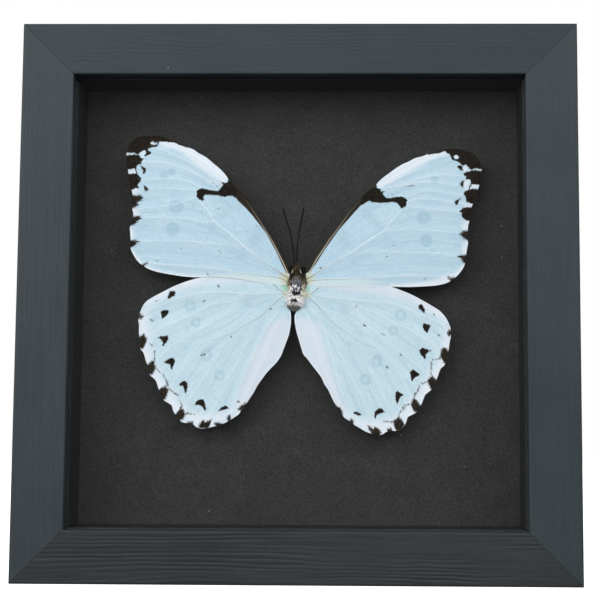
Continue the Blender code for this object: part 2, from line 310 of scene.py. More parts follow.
def addLights(settings):
    aim = Vector((0, 0, frameMiddle))
    for name, values in settings.items():
        lamp = bpy.data.lights.new(name, "AREA")
        lamp.shape = "RECTANGLE"
        lamp.size, lamp.size_y = values["size"]
        lamp.energy = values["power"]
        light = bpy.data.objects.new(name, lamp)
        scene.collection.objects.link(light)
        light.location = values["place"]
        light.rotation_euler = (aim - light.location).to_track_quat("-Z", "Y").to_euler()
        light.visible_camera = False
        light.visible_glossy = values.get("mirrored", True)
        light.visible_transmission = False


def addWorld(ambient, shine):
    # pure white to the camera, soft light for surfaces and little for reflections
    world = bpy.data.worlds.new("studio")
    scene.world = world
    world.use_nodes = True
    tree = world.node_tree
    path = put(tree, "LightPath").outputs
    mirrored = calc(tree, "MAXIMUM", path["Is Glossy Ray"], path["Is Transmission Ray"])
    lit = calc(tree, "MULTIPLY_ADD", mirrored, shine - ambient, ambient)
    strength = calc(tree, "MAXIMUM", lit, path["Is Camera Ray"])
    tree.links.new(strength, tree.nodes["Background"].inputs["Strength"])
    tree.nodes["Background"].inputs["Color"].default_value = (1, 1, 1, 1)


def addFloor(size):
    deselectAll()
    bpy.ops.mesh.primitive_plane_add(size=size, location=(0, 0, 0))
    floor = bpy.context.object
    floor.name = "floor"
    floor.data.materials.append(newMaterial("pale_floor", tint(240, 240, 240), 0.9,
                                            Emission_Color=(1, 1, 1, 1), Emission_Strength=0.8,
                                            Specular_IOR_Level=0.1))
    floor.visible_glossy = False
    floor.visible_transmission = False
    floor.visible_diffuse = False


scene.view_settings.view_transform = "Standard"
scene.cycles.use_denoising = True
addCamera(cameraSettings)
addLights(lightSettings)
addWorld(ambient=0.22, shine=0.05)
addFloor(4.0)
print("camera, lights and floor set")


# shared surface effects

def makeWoodGrain():
    # painted wood: streaks along the grain, brush marks, rubbed patches and a few specks of dust
    tree, ins, outs = newGroup("paintedGrain", {
        "Paint": ("Color", tint(64, 70, 73)), "Worn": ("Color", tint(82, 90, 94)),
        "Grain": ("Vector", (1.0, 1.0, 1.0)), "Streaks": ("Float", 0.5), "Specks": ("Float", 1.0),
    }, {"Color": "Color", "Roughness": "Float", "Height": "Float"})
    place = objectPlace(tree)
    along = put(tree, "VectorMath", {0: place, 1: ins["Grain"]}, operation="MULTIPLY").outputs[0]
    lines = cloudy(tree, along, 1.0, 3.0, 0.6)
    broad = cloudy(tree, place, 22.0, 3.0, 0.6)
    peel = cloudy(tree, place, 1500.0, 2.0, 0.5)
    cells = put(tree, "TexVoronoi", {"Vector": place, "Scale": 120.0}).outputs
    speck = spread(tree, cells["Distance"], 0.055, 0.02)
    rare = spread(tree, put(tree, "SeparateColor", {0: cells["Color"]}).outputs[0], 0.93, 0.94)
    speck = calc(tree, "MULTIPLY", calc(tree, "MULTIPLY", speck, rare), ins["Specks"])
    streak = calc(tree, "MULTIPLY", spread(tree, lines, 0.35, 0.70), ins["Streaks"])
    shade = calc(tree, "MULTIPLY_ADD", spread(tree, broad, 0.3, 0.7), 0.35, streak)
    shade = calc(tree, "MULTIPLY_ADD", spread(tree, peel, 0.3, 0.7), 0.35, shade)
    colour = mixColour(tree, shade, ins["Paint"], ins["Worn"])
    colour = mixColour(tree, calc(tree, "MULTIPLY", speck, 0.6), colour, tint(190, 190, 188))
    tree.links.new(colour, outs["Color"])
    rough = calc(tree, "MULTIPLY_ADD", peel, 0.10, 0.40)
    tree.links.new(calc(tree, "MULTIPLY_ADD", streak, 0.10, rough), outs["Roughness"])
    height = calc(tree, "MULTIPLY_ADD", lines, 0.7, calc(tree, "MULTIPLY", peel, 0.22))
    tree.links.new(calc(tree, "MULTIPLY_ADD", speck, 1.2, height), outs["Height"])
    return tree


def makePaperFibre():
    # pressed fibre: mottling, fine tooth, stray light and dark fibres
    tree, ins, outs = newGroup("pressedFibre", {
        "Ground": ("Color", tint(45, 46, 44)), "Fleck": ("Color", tint(80, 80, 78)),
        "Tooth": ("Float", 1400.0), "Fibres": ("Float", 0.5),
    }, {"Color": "Color", "Height": "Float"})
    place = objectPlace(tree)
    tooth = cloudy(tree, place, ins["Tooth"], 3.0, 0.6)
    mottle = cloudy(tree, place, 140.0, 3.0, 0.6)
    bent = put(tree, "VectorMath", {0: put(tree, "TexNoise", {"Vector": place, "Scale": 260.0}).outputs[1],
                                    1: (0.004, 0.004, 0.004)}, operation="MULTIPLY").outputs[0]
    moved = put(tree, "VectorMath", {0: place, 1: bent}, operation="ADD").outputs[0]
    edges = put(tree, "TexVoronoi", {"Vector": moved, "Scale": 420.0}, feature="DISTANCE_TO_EDGE").outputs[0]
    fibre = calc(tree, "MULTIPLY", spread(tree, edges, 0.05, 0.0), spread(tree, mottle, 0.45, 0.75))
    light = calc(tree, "MULTIPLY_ADD", spread(tree, tooth, 0.36, 0.68), 0.37,
                 calc(tree, "MULTIPLY", fibre, ins["Fibres"]))
    light = calc(tree, "MULTIPLY_ADD", spread(tree, mottle, 0.3, 0.7), 0.08, light)
    tree.links.new(mixColour(tree, light, ins["Ground"], ins["Fleck"]), outs["Color"])
    tree.links.new(calc(tree, "MULTIPLY_ADD", fibre, 0.4, tooth), outs["Height"])
    return tree


woodGrain = makeWoodGrain()
paperFibre = makePaperFibre()


# the four mitred rails

railSettings = {
    "width": 16.67,           # across the face
    "wall": 12.3,             # what is left beside the rabbet
    "lip": 3.4,
    "outerRound": 0.8,
    "innerRound": 0.5,
    "chamfer": 0.8,
    "mitreGap": 0.05,
    "cornerReach": 0.15,      # from the end of a CAD rail to the frame's corner
    "ringSpacing": 1.4,
    "rowsAlong": 230,
    "furrows": {"top": 0.032, "bottom": 0.115, "left": 0.035, "right": 0.025},   # mm deep
    "seeds": {"top": 3, "bottom": 11, "left": 23, "right": 37},
    "streaks": {"top": 0.25, "bottom": 0.55, "left": 0.35, "right": 0.25},
    # painted light: each rail gets its own copy of the one black paint, darker on the bottom rail and lighter
    # and bluer on the top and side rails, where the sheen of the light falls
    "tones": {   # the paint, and the paint where it is rubbed
        "top": (tint(40, 50, 55), tint(52, 62, 67)),
        "bottom": (tint(37, 41, 43), tint(51, 56, 59)),
        "left": (tint(44, 52, 57), tint(57, 65, 70)),
        "right": (tint(45, 54, 58), tint(59, 67, 71)),
    },
}


def railProfile(settings, deep):
    # (across, depth) round one rail: up the outer side, over the face, the lip, the rabbet and the back
    width, wall, lip = settings["width"], settings["wall"], settings["lip"]
    outer, inner, chamfer = settings["outerRound"], settings["innerRound"], settings["chamfer"]
    turn = np.linspace(0, math.pi / 2, 6)
    side = [(0.0, d) for d in np.linspace(deep - chamfer, outer, 26)]
    front = [(outer - outer * math.cos(a), outer - outer * math.sin(a)) for a in turn[1:]]
    face = [(a, 0.0) for a in np.linspace(outer, width - inner, 74)[1:-1]]
    nose = [(width - inner + inner * math.sin(a), inner - inner * math.cos(a)) for a in turn]
    lipSide = [(width, d) for d in np.linspace(inner, lip, 6)[1:]]
    lipBack = [(a, lip) for a in np.linspace(width, wall, 5)[1:]]
    rabbet = [(wall, d) for d in np.linspace(lip, deep, 9)[1:]]
    back = [(a, deep) for a in np.linspace(wall, chamfer, 8)[1:]]
    return np.array(side + front + face + nose + lipSide + lipBack + rabbet + back + side[:1])


def furrowDepth(across, along, deep, spacing, seed):
    # wavy valleys where soft winter wood sank between the harder rings, softened by paint
    bend = across + 3.2 * softNoise(along / 46, across / 8, seed)
    bend = bend + 0.7 * softNoise(along / 8, across / 3, seed + 1)
    bent = bend + 0.6 * softNoise(across / 2, along / 70, seed + 2)
    rings = 0.5 + 0.5 * np.cos(2 * math.pi * bent / spacing)
    narrow = softNoise(bend / 0.45, along / 22, seed + 3)
    strength = np.clip(1.7 * softNoise(across / 3, along / 26, seed + 4) - 0.25, 0.1, 1)
    return deep * (strength * rings ** 3 + 0.25 * narrow)


def makeRail(side, settings):
    profile = railProfile(settings, (railBack - railFront) / mm)
    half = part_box("rail_top")[1].x / mm + settings["cornerReach"]
    across = profile[None, :, 0]
    depth = np.repeat(profile[None, :, 1], settings["rowsAlong"], axis=0)
    share = np.linspace(-1, 1, settings["rowsAlong"])[:, None]
    along = share * (half - across - settings["mitreGap"])
    onFace = (depth < 0.25) & (across > 0.3)
    seed = settings["seeds"][side]
    sunk = furrowDepth(np.broadcast_to(across, along.shape), along + 200, settings["furrows"][side],
                       settings["ringSpacing"], seed)
    edgeFade = np.clip((across - 0.3) / 0.8, 0, 1) * np.clip((settings["width"] - across) / 0.8, 0, 1)
    depth = depth + np.where(onFace, sunk * edgeFade, 0)
    outward = np.broadcast_to(half - across, along.shape)
    flat = {"top": (along, outward), "bottom": (-along, -outward),
            "left": (-outward, along), "right": (outward, -along)}[side]
    places = np.stack([flat[0], depth + railFront / mm, flat[1] + frameMiddle / mm], -1) * mm
    rail = layGrid("rail" + side.capitalize(), places, closed=True)
    pick(rail)
    bpy.ops.object.shade_smooth_by_angle(angle=math.radians(35))
    grain = (40.0, 200.0, 1500.0) if side in ("top", "bottom") else (1500.0, 200.0, 40.0)
    # painted light: this rail's own lighter or darker copy of the paint, set by how the light falls on its
    # side
    tones = settings["tones"][side]

    def painted(tree):
        made = useGroup(tree, woodGrain, Paint=tones[0], Worn=tones[1], Grain=grain,
                        Streaks=settings["streaks"][side])
        return {"Base Color": made["Color"], "Roughness": made["Roughness"], "Height": made["Height"]}

    material = newMaterial("painted_wood_" + side, painted, 0.45, bump=0.00005, Specular_IOR_Level=0.32)
    finishPiece(rail, material, "frame_paint", "rail_" + side)


for side in ("top", "bottom", "left", "right"):
    makeRail(side, railSettings)
print("rails made")


# what lies in the rabbet, and the back

def paper(name, ground, fleck, tooth, fibres, bump=0.00004, roughness=0.85, extra=None):
    def look(tree):
        made = useGroup(tree, paperFibre, Ground=ground, Fleck=fleck, Tooth=tooth, Fibres=fibres)
        colour = extra(tree, made["Color"]) if extra else made["Color"]
        return {"Base Color": colour, "Height": made["Height"]}
    return newMaterial(name, look, roughness, bump=bump, Specular_IOR_Level=0.12)


def boardLint(tree, colour):
    # pale crumbs of lint on the black sheet
    place = objectPlace(tree)
    cells = put(tree, "TexVoronoi", {"Vector": place, "Scale": 240.0}).outputs
    crumb = spread(tree, cells["Distance"], 0.07, 0.03)
    rare = spread(tree, put(tree, "SeparateColor", {0: cells["Color"]}).outputs[0], 0.91, 0.92)
    return mixColour(tree, calc(tree, "MULTIPLY", crumb, rare), colour, tint(124, 123, 117))


def spacerLighterFront(tree, colour):
    # the wall is wrapped in black paper, and its front half millimetre is a lighter grey
    depth = put(tree, "SeparateXYZ", {0: objectPlace(tree)}).outputs[1]
    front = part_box("spacer_top")[0].y
    edge = spread(tree, depth, front + 0.5 * mm, front + 0.05 * mm)
    return mixColour(tree, edge, colour, tint(52, 55, 57))


def dressNode(name, material):
    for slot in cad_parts[name].material_slots:
        slot.material = material


def makeGlass():
    # lamps and scattered light pass straight through, so the pane casts no dark shadow
    material = bpy.data.materials.new("clear_glass")
    material.use_nodes = True
    tree = material.node_tree
    shader = tree.nodes["Principled BSDF"]
    for socket, value in {"Base Color": (0.985, 0.995, 0.99, 1), "Roughness": 0.0, "IOR": 1.5,
                          "Transmission Weight": 1.0}.items():
        shader.inputs[socket].default_value = value
    path = put(tree, "LightPath").outputs
    passing = calc(tree, "MAXIMUM", path["Is Shadow Ray"], path["Is Diffuse Ray"])
    clear = put(tree, "BsdfTransparent")
    mixed = put(tree, "MixShader", {0: passing, 1: shader.outputs[0], 2: clear.outputs[0]})
    tree.links.new(mixed.outputs[0], tree.nodes["Material Output"].inputs["Surface"])
    return material


def brushedSteel(tree):
    place = objectPlace(tree)
    rub = cloudy(tree, stretched(tree, place, (300.0, 300.0, 6000.0)), 1.0, 3.0, 0.6)
    stain = cloudy(tree, place, 260.0, 4.0, 0.65)
    colour = mixColour(tree, spread(tree, stain, 0.45, 0.75), tint(176, 178, 180), tint(120, 116, 108))
    rough = calc(tree, "MULTIPLY_ADD", rub, 0.25, 0.40)
    return {"Base Color": colour, "Roughness": rough, "Height": rub}


def rubberLook(tree):
    fine = cloudy(tree, objectPlace(tree), 900.0, 3.0, 0.6)
    return {"Base Color": mixColour(tree, fine, tint(30, 30, 31), tint(46, 46, 47)), "Height": fine}


dressNode("mount_board", paper("black_mount_paper", tint(42, 43, 42), tint(78, 79, 78), 1900.0, 0.35,
                               extra=boardLint))
spacerPaper = paper("black_spacer", tint(38, 39, 39), tint(58, 59, 59), 1100.0, 0.25, extra=spacerLighterFront)
for side in ("top", "bottom", "left", "right"):
    dressNode("spacer_" + side, spacerPaper)
dressNode("glass", makeGlass())
dressNode("backing_board", paper("brown_hardboard", tint(118, 84, 56), tint(164, 128, 92), 700.0, 0.9,
                                 bump=0.0001, roughness=0.7))
steel = newMaterial("steel", brushedSteel, 0.3, bump=0.00002, Metallic=1.0)
for k in range(8):
    dressNode("framers_point_%d" % (k + 1), steel)
for name in ("hanger", "hanger_nail_left", "hanger_nail_right"):
    dressNode(name, steel)
rubber = newMaterial("rubber_bumper", rubberLook, 0.55, bump=0.00003)
for side in ("left", "right"):
    dressNode("bumper_" + side, rubber)
print("glass, boards and hardware dressed")


# the butterfly's wings: every line is in mm from the middle of the thorax, x to the right, z up

wingSettings = {
    "rows": 175,          # from the base to the outer margin
    "columns": 165,       # from the leading to the trailing edge
    "thickness": 0.10,
    "camber": 0.75,
    "sag": 0.16,          # how far the skin sinks between two veins
    "ridge": 0.05,
    "veinSides": 6,
}


def hairline(start, end, rise):
    """A shallow arc of four points, its middle rise mm above the straight line between its ends."""
    (x, z), (farX, farZ) = start, end
    return [(x + (farX - x) * t, z + (farZ - z) * t + 4 * rise * t * (1 - t)) for t in (0, 1 / 3, 2 / 3, 1)]


foreLeft = {
    "lead": [(-2.5, 4.2), (-4.1, 7.8), (-5.45, 10.5), (-7.65, 14.8), (-10.15, 18.9), (-13.0, 23.3),
             (-15.2, 26.7), (-17.1, 29.3), (-19.7, 32.1), (-21.7, 34.1), (-22.7, 35.0), (-23.4, 36.3),
             (-25.2, 38.4), (-27.7, 40.5), (-30.3, 42.7), (-32.9, 44.1), (-34.3, 45.2), (-37.3, 46.4),
             (-39.6, 47.5), (-41.4, 48.2), (-43.6, 49.35), (-45.5, 49.8), (-47.7, 50.0), (-50.3, 50.0),
             (-52.2, 49.8), (-53.9, 49.0), (-55.2, 47.9), (-56.0, 46.2), (-56.5, 44.3)],
    "margin": [(-56.5, 44.3), (-56.65, 43.8), (-56.6, 42.1), (-56.5, 40.2), (-56.1, 38.9), (-55.8, 37.1),
               (-55.5, 34.7), (-55.1, 32.4), (-54.6, 31.7), (-54.35, 30.2), (-54.4, 28.0), (-54.35, 25.9),
               (-54.05, 24.6), (-53.9, 23.5), (-54.4, 22.0), (-54.8, 20.35), (-55.05, 19.2), (-54.9, 17.6),
               (-54.7, 15.5), (-54.6, 13.85), (-54.6, 12.5), (-53.9, 10.9), (-52.6, 8.8), (-51.1, 7.3),
               (-49.8, 6.5), (-48.85, 5.9)],
    "trail": [(-3.2, 0.8), (-6.1, 0.65), (-10.0, 1.2), (-15.4, 1.95), (-20.0, 2.7), (-28.0, 3.25),
              (-30.6, 3.1), (-34.0, 3.1), (-37.7, 3.4), (-41.4, 4.0), (-44.4, 4.55), (-47.0, 5.2),
              (-48.85, 5.9)],
    "black": [
        # the bar on the leading edge
        [(-22.8, 35.05), (-23.2, 34.2), (-24.0, 33.95), (-25.1, 34.35), (-24.4, 33.5), (-25.1, 32.6),
         (-26.0, 31.4), (-27.0, 31.3), (-29.1, 31.7), (-31.25, 32.2), (-32.15, 32.05), (-33.25, 31.3),
         (-32.9, 30.7), (-32.9, 30.05), (-33.25, 29.6), (-32.15, 28.6), (-31.1, 28.25), (-30.7, 28.8),
         (-31.2, 29.15), (-30.9, 29.8), (-30.5, 30.25), (-28.8, 30.25), (-26.0, 30.1), (-24.2, 29.6),
         (-22.4, 29.9), (-21.5, 30.1), (-20.1, 29.15), (-20.3, 31.5), (-21.5, 33.6)],
        # the dark tip, round to past the edge
        [(-43.9, 48.9), (-44.5, 47.9), (-45.7, 48.2), (-46.6, 48.3), (-46.0, 47.8), (-46.0, 47.2),
         (-46.6, 46.8), (-46.3, 46.4), (-48.2, 46.2), (-49.4, 45.7), (-49.7, 44.9), (-48.9, 44.8),
         (-48.4, 44.1), (-49.6, 43.6), (-50.8, 43.15), (-50.2, 43.9), (-50.1, 44.6), (-50.5, 45.4),
         (-51.3, 45.1), (-52.4, 44.3), (-53.2, 43.9), (-53.8, 44.4), (-57.5, 44.5), (-58.0, 52.0),
         (-43.0, 52.0)],
        [(-57.5, 43.4), (-53.8, 43.6), (-52.5, 43.7), (-52.1, 42.8), (-51.0, 42.0), (-51.85, 41.4),
         (-51.7, 40.9), (-52.6, 40.4), (-53.2, 39.8), (-53.2, 37.5), (-52.6, 36.9), (-53.4, 38.2),
         (-53.7, 39.2), (-54.7, 39.2), (-55.1, 38.9), (-57.5, 38.8)],
        [(-57.0, 37.0), (-55.0, 37.2), (-53.7, 37.3), (-52.9, 37.1), (-52.3, 36.5), (-51.7, 35.9),
         (-51.7, 34.9), (-52.3, 34.3), (-52.9, 33.9), (-52.3, 32.9), (-52.5, 32.5), (-53.4, 32.6),
         (-54.3, 32.2), (-57.0, 32.1)],
        [(-51.8, 40.0), (-50.2, 38.9), (-50.0, 38.2), (-51.0, 37.15), (-51.1, 37.8), (-50.8, 38.15),
         (-51.4, 39.1)],
        [(-50.6, 33.4), (-49.15, 32.3), (-49.6, 31.6), (-50.4, 32.0)],
        [(-43.9, 48.9), (-44.9, 48.1), (-43.2, 47.95), (-41.4, 47.75), (-39.5, 47.2), (-37.7, 46.3),
         (-36.5, 45.9), (-36.0, 46.6), (-40.0, 49.0), (-43.6, 50.5)],
    ],
    "white": [
        [(-49.1, 47.9), (-47.9, 48.3), (-47.2, 47.5), (-46.5, 48.0), (-46.1, 47.3), (-47.5, 46.8),
         (-48.6, 47.0)],
    ],
    "smudge": [
        [(-56.0, 30.1), (-52.9, 30.2), (-52.0, 30.4), (-50.9, 29.5), (-51.3, 28.3), (-52.4, 27.8),
         (-52.4, 26.7), (-53.9, 25.9), (-56.0, 25.9)],
        [(-56.0, 23.1), (-52.0, 23.1), (-51.3, 22.4), (-52.4, 21.7), (-52.9, 20.9), (-54.4, 20.2),
         (-56.0, 19.5)],
        [(-56.0, 15.4), (-52.9, 15.15), (-51.7, 14.85), (-52.75, 14.2), (-53.7, 13.3), (-56.0, 12.4)],
        [(-51.6, 7.35), (-48.85, 7.8), (-49.4, 7.1), (-50.9, 6.0)],
    ],
    "pale": [
        [(-22.0, 35.5), (-24.5, 34.0), (-28.8, 37.1), (-31.7, 39.1), (-34.3, 41.2), (-36.95, 43.2),
         (-39.2, 44.7), (-41.4, 45.5), (-44.0, 46.0), (-46.0, 47.4), (-44.0, 51.0), (-30.0, 45.0)],
        [(-52.4, 44.3), (-51.3, 45.1), (-50.5, 45.4), (-50.1, 44.5), (-50.8, 43.2), (-51.5, 42.7)],
        [(-57.5, 44.6), (-53.7, 44.5), (-53.7, 43.5), (-57.5, 43.4)],
        [(-57.0, 38.9), (-53.2, 38.9), (-53.0, 37.2), (-57.0, 37.0)],
        [(-56.0, 32.2), (-53.6, 32.4), (-52.2, 31.4), (-53.2, 30.2), (-56.0, 30.1)],
        [(-56.0, 26.0), (-53.6, 25.8), (-51.8, 24.4), (-53.0, 23.2), (-56.0, 23.1)],
        [(-57.0, 19.3), (-54.0, 19.0), (-53.6, 16.0), (-57.0, 15.4)],
        [(-56.5, 12.4), (-53.3, 11.6), (-51.0, 8.4), (-48.2, 6.7), (-43.8, 5.2), (-37.0, 4.0), (-30.0, 3.8),
         (-30.0, 2.0), (-45.0, 3.0), (-56.0, 6.0)],
    ],
    "strip": [[(-22.8, 35.05), (-21.6, 32.4), (-20.1, 29.15), (-19.8, 28.4), (-17.4, 26.2), (-15.0, 23.6),
               (-12.8, 20.8), (-10.4, 17.8), (-8.5, 14.3), (-6.75, 11.1), (-5.05, 7.4), (-3.6, 4.6),
               (-1.6, 4.0), (-6.0, 14.0), (-16.0, 31.0)]],
    "spots": [(-39.8, 26.3, 2.3), (-40.9, 18.9, 2.2), (-41.5, 37.9, 1.3), (-44.0, 37.0, 1.3)],
    "scuffs": [[(-27.9, 34.0), (-26.2, 32.7)], [(-13.9, 20.7), (-13.2, 19.8)], [(-30.2, 5.5), (-29.6, 4.6)],
               [(-29.5, 4.4), (-28.9, 3.8)], [(-22.8, 3.7), (-22.4, 3.5)], [(-26.0, 11.9), (-25.0, 11.3)],
               [(-50.2, 25.8), (-49.6, 25.6)], [(-50.2, 31.4), (-49.8, 31.2)],
               [(-17.4, 18.4), (-16.2, 18.1)], [(-38.6, 15.3), (-37.8, 15.1)],
               [(-38.2, 12.6), (-37.9, 12.3)], [(-46.3, 8.8), (-45.7, 8.4)], [(-26.5, 25.4), (-25.6, 25.7)],
               [(-31.4, 24.8), (-31.0, 24.2)]],
    # each vein: width, tone at its root and at its tip (0 dark brown, 1 white), and its points
    "veins": [
        (0.42, 0.16, 1.0, [(-3.0, 3.2), (-4.7, 4.0), (-6.5, 5.3), (-11.7, 8.8), (-16.7, 12.5),
                           (-20.0, 15.5), (-23.4, 18.5), (-27.1, 21.3), (-29.5, 25.0), (-32.5, 28.35)]),
        (0.22, 0.35, 0.9, [(-16.7, 12.5), (-19.1, 13.2), (-22.8, 13.55), (-28.0, 13.9), (-32.1, 14.4),
                           (-37.7, 15.0), (-45.1, 15.0), (-52.5, 14.9)]),
        (0.22, 0.55, 0.95, [(-27.1, 21.3), (-30.3, 21.0), (-33.2, 21.7), (-36.95, 22.4), (-43.3, 22.7),
                            (-52.0, 22.6)]),
        (0.30, 0.12, 0.85, [(-3.0, 1.6), (-4.7, 2.5), (-7.0, 3.2), (-11.7, 3.7), (-19.1, 4.6), (-24.7, 5.5),
                            (-30.3, 6.2), (-35.8, 6.6), (-43.3, 7.2), (-49.3, 7.65)]),
        (0.26, 0.9, 1.0, [(-31.7, 32.6), (-35.5, 34.3), (-39.2, 35.4), (-43.3, 35.6), (-50.7, 35.4),
                          (-54.5, 35.0)]),
        (0.22, 0.85, 0.95, [(-33.5, 31.9), (-45.1, 32.4), (-50.3, 32.4), (-54.0, 31.8)]),
        (0.22, 0.85, 0.9, [(-33.0, 29.8), (-37.5, 28.0), (-42.0, 26.7), (-50.0, 25.9), (-53.8, 25.0)]),
        (0.28, 0.6, 1.0, [(-25.0, 33.5), (-30.3, 35.4), (-37.7, 39.1), (-45.1, 41.0), (-50.7, 41.4),
                          (-55.5, 41.2)]),
        (0.26, 0.7, 0.95, [(-24.6, 34.2), (-29.5, 36.9), (-34.0, 39.9), (-38.6, 42.6), (-44.0, 45.0),
                           (-49.0, 46.3)]),
        (0.26, 0.75, 0.95, [(-23.6, 35.4), (-28.0, 38.6), (-33.0, 42.2), (-38.0, 45.3), (-43.0, 47.6)]),
        (0.15, 0.22, 0.5, hairline((-25.3, 32.7), (-33.7, 40.0), 0.4)),
        (0.13, 0.22, 0.5, hairline((-26.5, 32.4), (-37.0, 38.7), 0.55)),
    ],
    "mint": [
        [(-3.2, 1.2), (-4.7, 2.5), (-7.0, 3.2), (-11.5, 3.7), (-19.0, 4.4), (-30.0, 4.0), (-22.0, 2.4),
         (-15.0, 1.6), (-7.2, 0.4), (-3.2, 0.5)],
    ],
    "straw": [[(-2.4, 5.6), (-3.9, 4.9), (-5.6, 3.4), (-5.2, 2.4), (-4.4, 1.0), (-2.4, 0.6)]],
    "green": [], "lilac": [], "softness": 1.0, "scuffWidth": 0.75,
    "tones": {"Sky": tint(168, 201, 222), "Mist": tint(197, 220, 233)},
}

